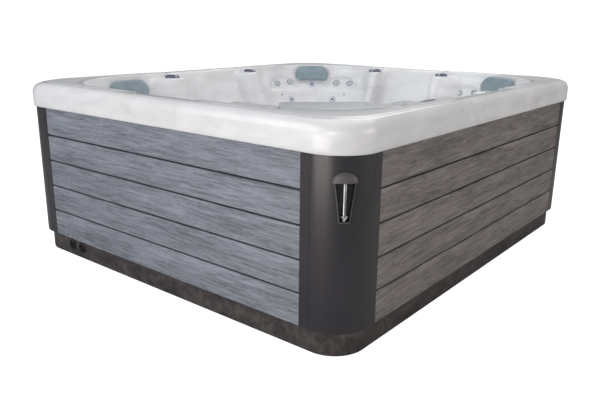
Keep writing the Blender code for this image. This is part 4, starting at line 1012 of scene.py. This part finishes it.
def make_knobs():
    """Rim knobs: a turned body with two dark hollows beside a bright bar."""
    for joint in frame["joints"]:
        name = joint["name"]
        if "_knob_" not in name:
            continue
        knob = name.replace("_turn", "")
        spot = joint_spot(name)[0]
        low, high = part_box(knob)
        radius, tall = (high.x - low.x) / 2, high.z - spot.z
        out = Vector((0, 1, 0)) if abs(spot.y) > 1.0 else Vector((-1, 0, 0))
        matrix = frame_matrix(spot, Vector((-out.y, out.x, 0)), -out, UP)
        body = lathe([(0, tall * 0.84), (radius * 0.80, tall * 0.84), (radius * 0.90, tall * 0.78),
                      (radius * 0.97, tall * 0.60), (radius, tall * 0.32), (radius, 0.0006), (0.009, 0.0006),
                      (0.009, -0.022), (0, -0.022)], 56)
        hollows = []
        for sign in (-1, 1):
            outline = [(sign * x, y) for x, y in arc((0, 0), radius * 0.78, -68, 68, 16)]
            inner = [(sign * radius * 0.20, y) for y in (radius * 0.68, 0.0, -radius * 0.68)]
            hollows.append(outline + inner if sign > 0 else (outline + inner)[::-1])
        mesh = carved(knob + "_body", body, [prism(shape, tall * 0.40, tall) for shape in hollows])
        piece(knob + "_body", mesh, KNOB_BODY, knob, [knob], matrix)
        for index, shape in enumerate(hollows):
            fill = prism([(x * 0.992, y * 0.992) for x, y in shape], tall * 0.39, tall * 0.62, 0.0015)
            piece("%s_hollow_%d" % (knob, index + 1), fill, NAVY, knob, (), matrix)
        bar = rounded_box((radius * 0.38, radius * 1.98, tall * 0.96), 0.0030, (0, 0, tall * 0.52), 4)
        piece(knob + "_bar", bar, PALE_CHROME, knob, (), matrix)


def scaled(profile, wide, tall=1.0):
    return [(radius * wide, height * tall) for radius, height in profile]


def jet_parts(radius):
    """A jet's profiles about its axis: the outer trim, the pale dished face and the nozzle."""
    trim = [(0.84, 0.0030), (0.92, 0.0036), (1.0, 0.0020), (1.0, 0.0), (0.84, 0.0)]
    face = [(0.34, 0.0), (0.42, 0.0012), (0.62, 0.0030), (0.86, 0.0030), (0.86, 0.0004), (0.34, 0.0004)]
    core = [(0, 0.0034), (0.16, 0.0030), (0.32, 0.0010), (0.37, -0.0010), (0.37, -0.004), (0, -0.004)]
    return [scaled(profile, radius) for profile in (trim, face, core)]


def ring_lathe(profile, steps, stretch=(1.0, 1.0)):
    """A turned ring: the profile is a closed loop that doesn't meet the axis."""
    bm = lathe(profile + profile[:1], steps, stretch)
    bmesh.ops.remove_doubles(bm, verts=bm.verts, dist=ON_AXIS)
    bmesh.ops.recalc_face_normals(bm, faces=bm.faces)
    return bm


def make_jets():
    """Turning jets: a trim, a pale dished face, a nozzle, and a stem behind the wall."""
    for joint in frame["joints"]:
        name = joint["name"].replace("_turn", "")
        if not name.startswith("jet_"):
            continue
        spot, axis = joint_spot(joint["name"])
        across = UP.cross(axis).normalized()
        matrix = frame_matrix(spot, across, axis.cross(across), axis)
        trim, face, core = jet_parts(JET_RADIUS)
        stem = lathe([(0, 0.0), (0.0155, 0.0), (0.0155, -0.052), (0, -0.052)], 28)
        piece(name + "_trim", ring_lathe(trim, 48), JET_EDGE, name, [name], matrix)
        piece(name + "_face", ring_lathe(face, 48), JET_FACE, name, (), matrix)
        piece(name + "_nozzle", lathe(core, 32), NAVY, name, (), matrix)
        piece(name + "_stem", stem, PIPE, name, (), matrix)


def make_wing_jets():
    """Fixed oval jets in the hollows beside each headrest, and small ones below."""
    for label, (corner, middle) in WING_CORNERS.items():
        for index, (along, height) in enumerate(WING_JETS):
            spot, normal, up = wall_spot(corner, middle + along, height)
            spot = spot - normal * (float(wing_depth(np.array(along), np.array(spot.z))) - 0.0015)
            matrix = frame_matrix(spot, up.cross(normal), up, normal)
            name = "wing_jet_%s_%d" % (label, index + 1)
            trim = [(0.72, 0.006), (0.86, 0.0075), (1.0, 0.004), (1.0, -0.004), (0.72, -0.004)]
            heart = [(0, 0.0015), (0.5, 0.001), (0.74, -0.001), (0.74, -0.004), (0, -0.004)]
            piece(name + "_trim", ring_lathe(trim, 40, WING_JET_SIZE), WING_JET, "tub", (), matrix)
            piece(name + "_heart", lathe(heart, 32, WING_JET_SIZE), JET_FACE, "tub", (), matrix)
            bar = rounded_box((0.006, 0.024, 0.004), 0.0012, (0, 0, 0.002), 2)
            piece(name + "_bar", bar, WING_JET, "tub", (), matrix)
        for index, (along, height) in enumerate(AIR_JETS):
            spot, normal, up = wall_spot(corner, middle + along, height)
            matrix = frame_matrix(spot, up.cross(normal), up, normal)
            dot = lathe([(0, 0.002), (0.004, 0.002), (0.0055, 0.003), (0.0085, 0.002), (0.009, -0.002),
                         (0, -0.002)], 28)
            piece("air_jet_%s_%d" % (label, index + 1), dot, WING_JET, "tub", (), matrix)


def lid_outline(grow):
    """The lid's plan in the bay's frame: its back edge follows the rim's inner curve."""
    rim = LEVELS[SHOULDER]
    lip = rim[0] * (sqrt(2) - 1) + rim[1 + FILTER][0] * sqrt(2)
    bend = rim[0] - (LID_BACK - lip)
    reach = degrees(asin(LID_HALF * 0.97 / bend))
    back = arc((0, LID_BACK + bend), bend, 270 - reach, 270 + reach, 24)
    nose = arc((LID_HALF - LID_NOSE + grow, LID_FRONT - LID_NOSE + grow), LID_NOSE, 0, 90, 10)
    return back + nose + [(-x, y) for x, y in nose[::-1]]


def make_lid():
    """The filter lid: a soft-edged plate with two finger slots, on a thin dark seal."""
    plate = prism(lid_outline(0.0), LID_LOW + 0.0032, LID_HIGH, 0.0035, 0.001, 4)
    seal = prism(lid_outline(0.0018), LID_LOW, LID_LOW + 0.0030)
    piece("filter_lid_seal", seal, BACKING, "filter_lid", (), BAY, 30)
    slots = []
    for sign in (-1, 1):
        slot = prism(rounded_outline(0.022, 0.007, 0.0065, 6), LID_HIGH - 0.007, LID_HIGH + 0.01)
        slot.transform(Matrix.Translation((sign * (LID_HALF - 0.040), 0.50, 0)))
        slots.append(slot)
    piece("filter_lid_plate", carved("lid", plate, slots), LID, "filter_lid", ["filter_lid"], BAY, 30)


def make_filter_bay():
    """The bucket under the lid, the ribbed weir flap in its mouth, and two cartridges."""
    middle, half = (BAY_BACK + BAY_FRONT) / 2, (BAY_FRONT - BAY_BACK) / 2
    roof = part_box("filter_housing")[1].z
    wall = 0.005
    tub_shape = prism(rounded_outline(BAY_HALF, half, 0.03, 8), BAY_BOTTOM, roof, 0.0, 0.004)
    hollow = prism(rounded_outline(BAY_HALF - wall, half - wall, 0.025, 8), BAY_BOTTOM + wall, roof + 0.05)
    mouth = rounded_box((2 * WEIR_HALF + 0.012, 0.13, WEIR_HIGH - WEIR_LOW + 0.016), 0.004,
                        (0, BAY_FRONT - middle + 0.05, (WEIR_LOW + WEIR_HIGH) / 2), 2)
    matrix = BAY @ Matrix.Translation((0, middle, 0))
    piece("filter_bucket", carved("bucket", tub_shape, [hollow, mouth]), PIPE, "tub",
          ["filter_housing"], matrix, 30)
    flap = [rounded_box((2 * WEIR_HALF, 0.0045, WEIR_HIGH - WEIR_LOW), 0.0015,
                        (0, 0, (WEIR_HIGH - WEIR_LOW) / 2), 2)]
    for index in range(5):
        flap.append(rounded_box((0.004, 0.0035, 0.078), 0.001, (-0.056 + 0.028 * index, 0.0032, 0.050), 1))
    piece("skimmer_weir_flap", join(*flap), GRATE, "skimmer_weir", ["skimmer_weir"],
          BAY @ Matrix.Translation((0, WEIR_AT, WEIR_LOW)))
    for name, sign in (("filter_cartridge_left", -1), ("filter_cartridge_right", 1)):
        make_cartridge(name, BAY @ Matrix.Translation((sign * 0.082, middle - 0.012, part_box(name)[0].z)))


def make_cartridge(name, matrix):
    """A pleated filter cartridge between two end caps, with a handle on top."""
    pleats = bmesh.new()
    count, levels = 84, (0.022, 0.150, 0.280)
    rings = []
    for height in levels:
        ring = []
        for index in range(count * 2):
            turn = pi * index / count
            radius = 0.0590 if index % 2 else 0.0510
            ring.append(pleats.verts.new((radius * cos(turn), radius * sin(turn), height)))
        rings.append(ring)
    for lower, upper in zip(rings[:-1], rings[1:]):
        for i in range(len(lower)):
            j = (i + 1) % len(lower)
            pleats.faces.new((lower[i], lower[j], upper[j], upper[i]))
    pleats.faces.new(rings[0][::-1])
    pleats.faces.new(rings[-1])
    piece(name + "_pleats", pleats, FELT, "filter_cartridges", [name], matrix, 12)
    foot = lathe([(0, 0.024), (0.060, 0.024), (0.0635, 0.020), (0.0635, 0.002), (0.061, 0.0), (0, 0.0)], 48)
    cap = lathe([(0, 0.335), (0.012, 0.334), (0.016, 0.328), (0.0155, 0.304), (0.020, 0.300), (0.061, 0.300),
                 (0.0638, 0.297), (0.0638, 0.280), (0.060, 0.277), (0, 0.277)], 48)
    piece(name + "_foot", foot, GRATE, "filter_cartridges", (), matrix)
    piece(name + "_cap", cap, GRATE, "filter_cartridges", (), matrix)


def make_keypad():
    """The topside control: a grey soft-edged pod with a screen and four dark buttons."""
    low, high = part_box("keypad_housing")
    centre = (low + high) / 2
    half_x, half_y = (high.x - low.x) / 2, (high.y - low.y) / 2
    body = prism(rounded_outline(half_x, half_y, 0.020, 8), low.z, high.z, 0.003, 0.0, 4)
    wells = []
    for index in range(4):
        name = "keypad_button_%d" % (index + 1)
        base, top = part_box(name)
        middle = (base + top) / 2
        radius = (top.x - base.x) / 2
        well = lathe([(0, 0.02), (radius + 0.0008, 0.02), (radius + 0.0008, 0), (0, 0)], 32)
        well.transform(Matrix.Translation((middle.x - centre.x, middle.y - centre.y, high.z - 0.006)))
        wells.append(well)
        button = lathe([(0, top.z - 0.0004), (radius * 0.55, top.z - 0.0006), (radius * 0.86, top.z),
                        (radius, top.z - 0.0012), (radius, base.z), (0, base.z)], 36)
        piece(name + "_cap", button, BUTTON, name, [name],
              Matrix.Translation((middle.x, middle.y, 0)))
    matrix = Matrix.Translation((centre.x, centre.y, 0))
    piece("keypad_pod", carved("pod", body, wells), KEYPAD, "tub", ["keypad_housing"], matrix, 30)
    screen = rounded_box((0.022, 0.050, 0.0016), 0.0006, (0.017, 0.0, high.z), 2)
    piece("keypad_screen", screen, RECESS, "tub", (), matrix)


def make_ledge_cap():
    """A round cap beside the keypad: a grey ring round a pale dished middle."""
    low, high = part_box("ledge_cap")
    middle = (low + high) / 2
    radius, tall = (high.x - low.x) / 2, high.z - low.z
    ring = scaled([(0.56, 0.6), (0.66, 0.97), (0.82, 1.0), (0.96, 0.62), (1.0, 0.2), (1.0, 0.0), (0.56, 0.0)],
                  radius, tall)
    heart = lathe(scaled([(0, 0.62), (0.34, 0.58), (0.57, 0.40), (0.57, 0.0), (0, 0.0)], radius, tall), 40)
    matrix = Matrix.Translation((middle.x, middle.y, low.z))
    piece("ledge_cap_ring", ring_lathe(ring, 56), CAP_RING, "tub", ["ledge_cap"], matrix)
    piece("ledge_cap_heart", heart, JET_FACE, "tub", (), matrix)


def make_footwell_fittings():
    """A slotted suction grate on the floor, and the underwater light's lens and trim."""
    low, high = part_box("suction_cover")
    radius = (high.x - low.x) / 2
    dome = lathe([(0, 0.016), (0.030, 0.0155), (0.055, 0.0135), (0.078, 0.0085), (radius - 0.001, 0.002),
                  (radius, 0.0), (0, 0.0)], 72)
    tools = []
    for ring, count in ((0.026, 8), (0.046, 14), (0.066, 20)):
        for index in range(count):
            slot = rounded_box((0.011, 0.0042, 0.03), 0.0008, (ring, 0, 0.016), 1)
            slot.transform(Matrix.Rotation(2 * pi * index / count, 4, "Z"))
            tools.append(slot)
    mesh = carved("grate", dome, [join(*tools)])
    piece("suction_grate", mesh, GRATE, "tub", ["suction_cover"],
          Matrix.Translation((0, 0, low.z)), 30)

    low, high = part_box("light_lens")
    centre = (low + high) / 2
    wall_run, wall_fall = 0.040, 0.305
    lean = atan2(wall_run, wall_fall)
    matrix = (Matrix.Translation((centre.x, low.y + 0.006, centre.z))
              @ Matrix.Rotation(radians(-90) + lean, 4, "X"))
    glass = lathe([(0, 0.011), (0.018, 0.0105), (0.034, 0.008), (0.042, 0.0045), (0.042, -0.002),
                   (0, -0.002)], 48)
    trim = [(0.041, 0.0045), (0.046, 0.0065), (0.053, 0.004), (0.056, 0.0), (0.056, -0.003), (0.041, -0.003)]
    piece("footwell_light_lens", glass, LENS, "tub", ["light_lens"], matrix)
    piece("footwell_light_trim", ring_lathe(trim, 48), CHROME, "tub", (), matrix)


# ---------------------------------------------------------------- equipment bay

def refinish(finish, *nodes):
    """A carried-over solid keeps its shape and takes a better material."""
    for name in nodes:
        mesh_slots = frame["nodes"][name].material_slots
        if not mesh_slots:
            frame["nodes"][name].data.materials.append(finish)
        for slot in mesh_slots:
            slot.link = "OBJECT"
            slot.material = finish


def refinish_equipment():
    refinish(TIMBER, "support_frame")
    refinish(ENAMEL, "pump_1_wet_end", "pump_2_wet_end", "pump_1_motor", "pump_2_motor")
    refinish(GLASS_FILLED, "pump_1_impeller", "pump_2_impeller")
    refinish(PIPE, "diverter_valve_left", "air_valve_left", "diverter_valve_back", "air_valve_back",
             "pressure_manifold", "suction_manifold")
    refinish(STEEL, "heater_tube")
    refinish(BOX_GREY, "control_box")
    refinish(BLACK, "ozone_generator")


# ---------------------------------------------------------------- stage

def ray_strength(tree, *levels):
    """Brightness by the kind of ray that sees it: (light path output, strength) pairs, added up."""
    path = tree.nodes.new("ShaderNodeLightPath")
    total = 0.0
    for output, strength in levels:
        made = tree.nodes.new("ShaderNodeMath")
        made.operation = "MULTIPLY_ADD"
        tree.links.new(path.outputs[output], made.inputs[0])
        made.inputs[1].default_value = strength
        if isinstance(total, float):
            made.inputs[2].default_value = total
        else:
            tree.links.new(total, made.inputs[2])
        total = made.outputs[0]
    return total


def make_stage():
    bm = bmesh.new()
    bmesh.ops.create_grid(bm, x_segments=1, y_segments=1, size=40.0)
    floor = link("studio_floor", to_mesh("studio_floor", bm))
    floor.location.z = -0.0015
    white = bpy.data.materials.new("studio_white")
    white.use_nodes = True
    shader = white.node_tree.nodes["Principled BSDF"]
    shader.inputs["Base Color"].default_value = (FLOOR_TONE, FLOOR_TONE, FLOOR_TONE, 1)
    shader.inputs["Roughness"].default_value = 0.9
    shader.inputs["Specular IOR Level"].default_value = 0.0
    shader.inputs["Emission Color"].default_value = (1, 1, 1, 1)
    white.node_tree.links.new(ray_strength(white.node_tree, ("Is Camera Ray", FLOOR_GLOW)),
                              shader.inputs["Emission Strength"])
    floor.data.materials.append(white)

    world = bpy.data.worlds.new("studio")
    bpy.context.scene.world = world
    world.use_nodes = True
    background = world.node_tree.nodes["Background"]
    background.inputs["Color"].default_value = (1, 1, 1, 1)
    world.node_tree.links.new(ray_strength(world.node_tree, *SKY_LEVELS), background.inputs["Strength"])

    for name, place, aim, size, power, colour, shine in LIGHTS:
        light = bpy.data.lights.new(name, "AREA")
        light.shape = "RECTANGLE"
        light.size, light.size_y = size
        light.energy = power
        light.color = colour
        light.specular_factor = shine
        holder = link(name, light)
        holder.location = place
        holder.visible_camera = False
        holder.rotation_mode = "QUATERNION"
        holder.rotation_quaternion = (Vector(aim) - Vector(place)).to_track_quat("-Z", "Y")


def make_camera():
    yaw, pitch, roll = (radians(value) for value in CAMERA_TURN)
    ahead = Vector((cos(pitch) * sin(yaw), cos(pitch) * cos(yaw), sin(pitch)))
    right = Vector((cos(yaw), -sin(yaw), 0))
    above = right.cross(ahead)
    x_axis = right * cos(roll) + above * sin(roll)
    y_axis = above * cos(roll) - right * sin(roll)
    camera = bpy.data.cameras.new("camera")
    camera.lens = CAMERA_LENS
    camera.sensor_width = 36.0
    camera.clip_start, camera.clip_end = 0.05, 200.0
    holder = link("camera", camera)
    holder.matrix_world = frame_matrix(Vector(CAMERA_PLACE), x_axis, y_axis, -ahead)
    bpy.context.scene.camera = holder
    bpy.context.scene.view_settings.view_transform = "Standard"
    bpy.context.scene.view_settings.look = "None"


make_camera()
make_stage()
make_shell()
make_panels()
make_pillars()
make_base()
make_drain_ports()
make_panel_latches()
for label, corner_index in SEAT_CORNERS.items():
    make_headrest(label, corner_index)
make_knobs()
make_jets()
make_wing_jets()
make_lid()
make_filter_bay()
make_keypad()
make_ledge_cap()
make_footwell_fittings()
refinish_equipment()
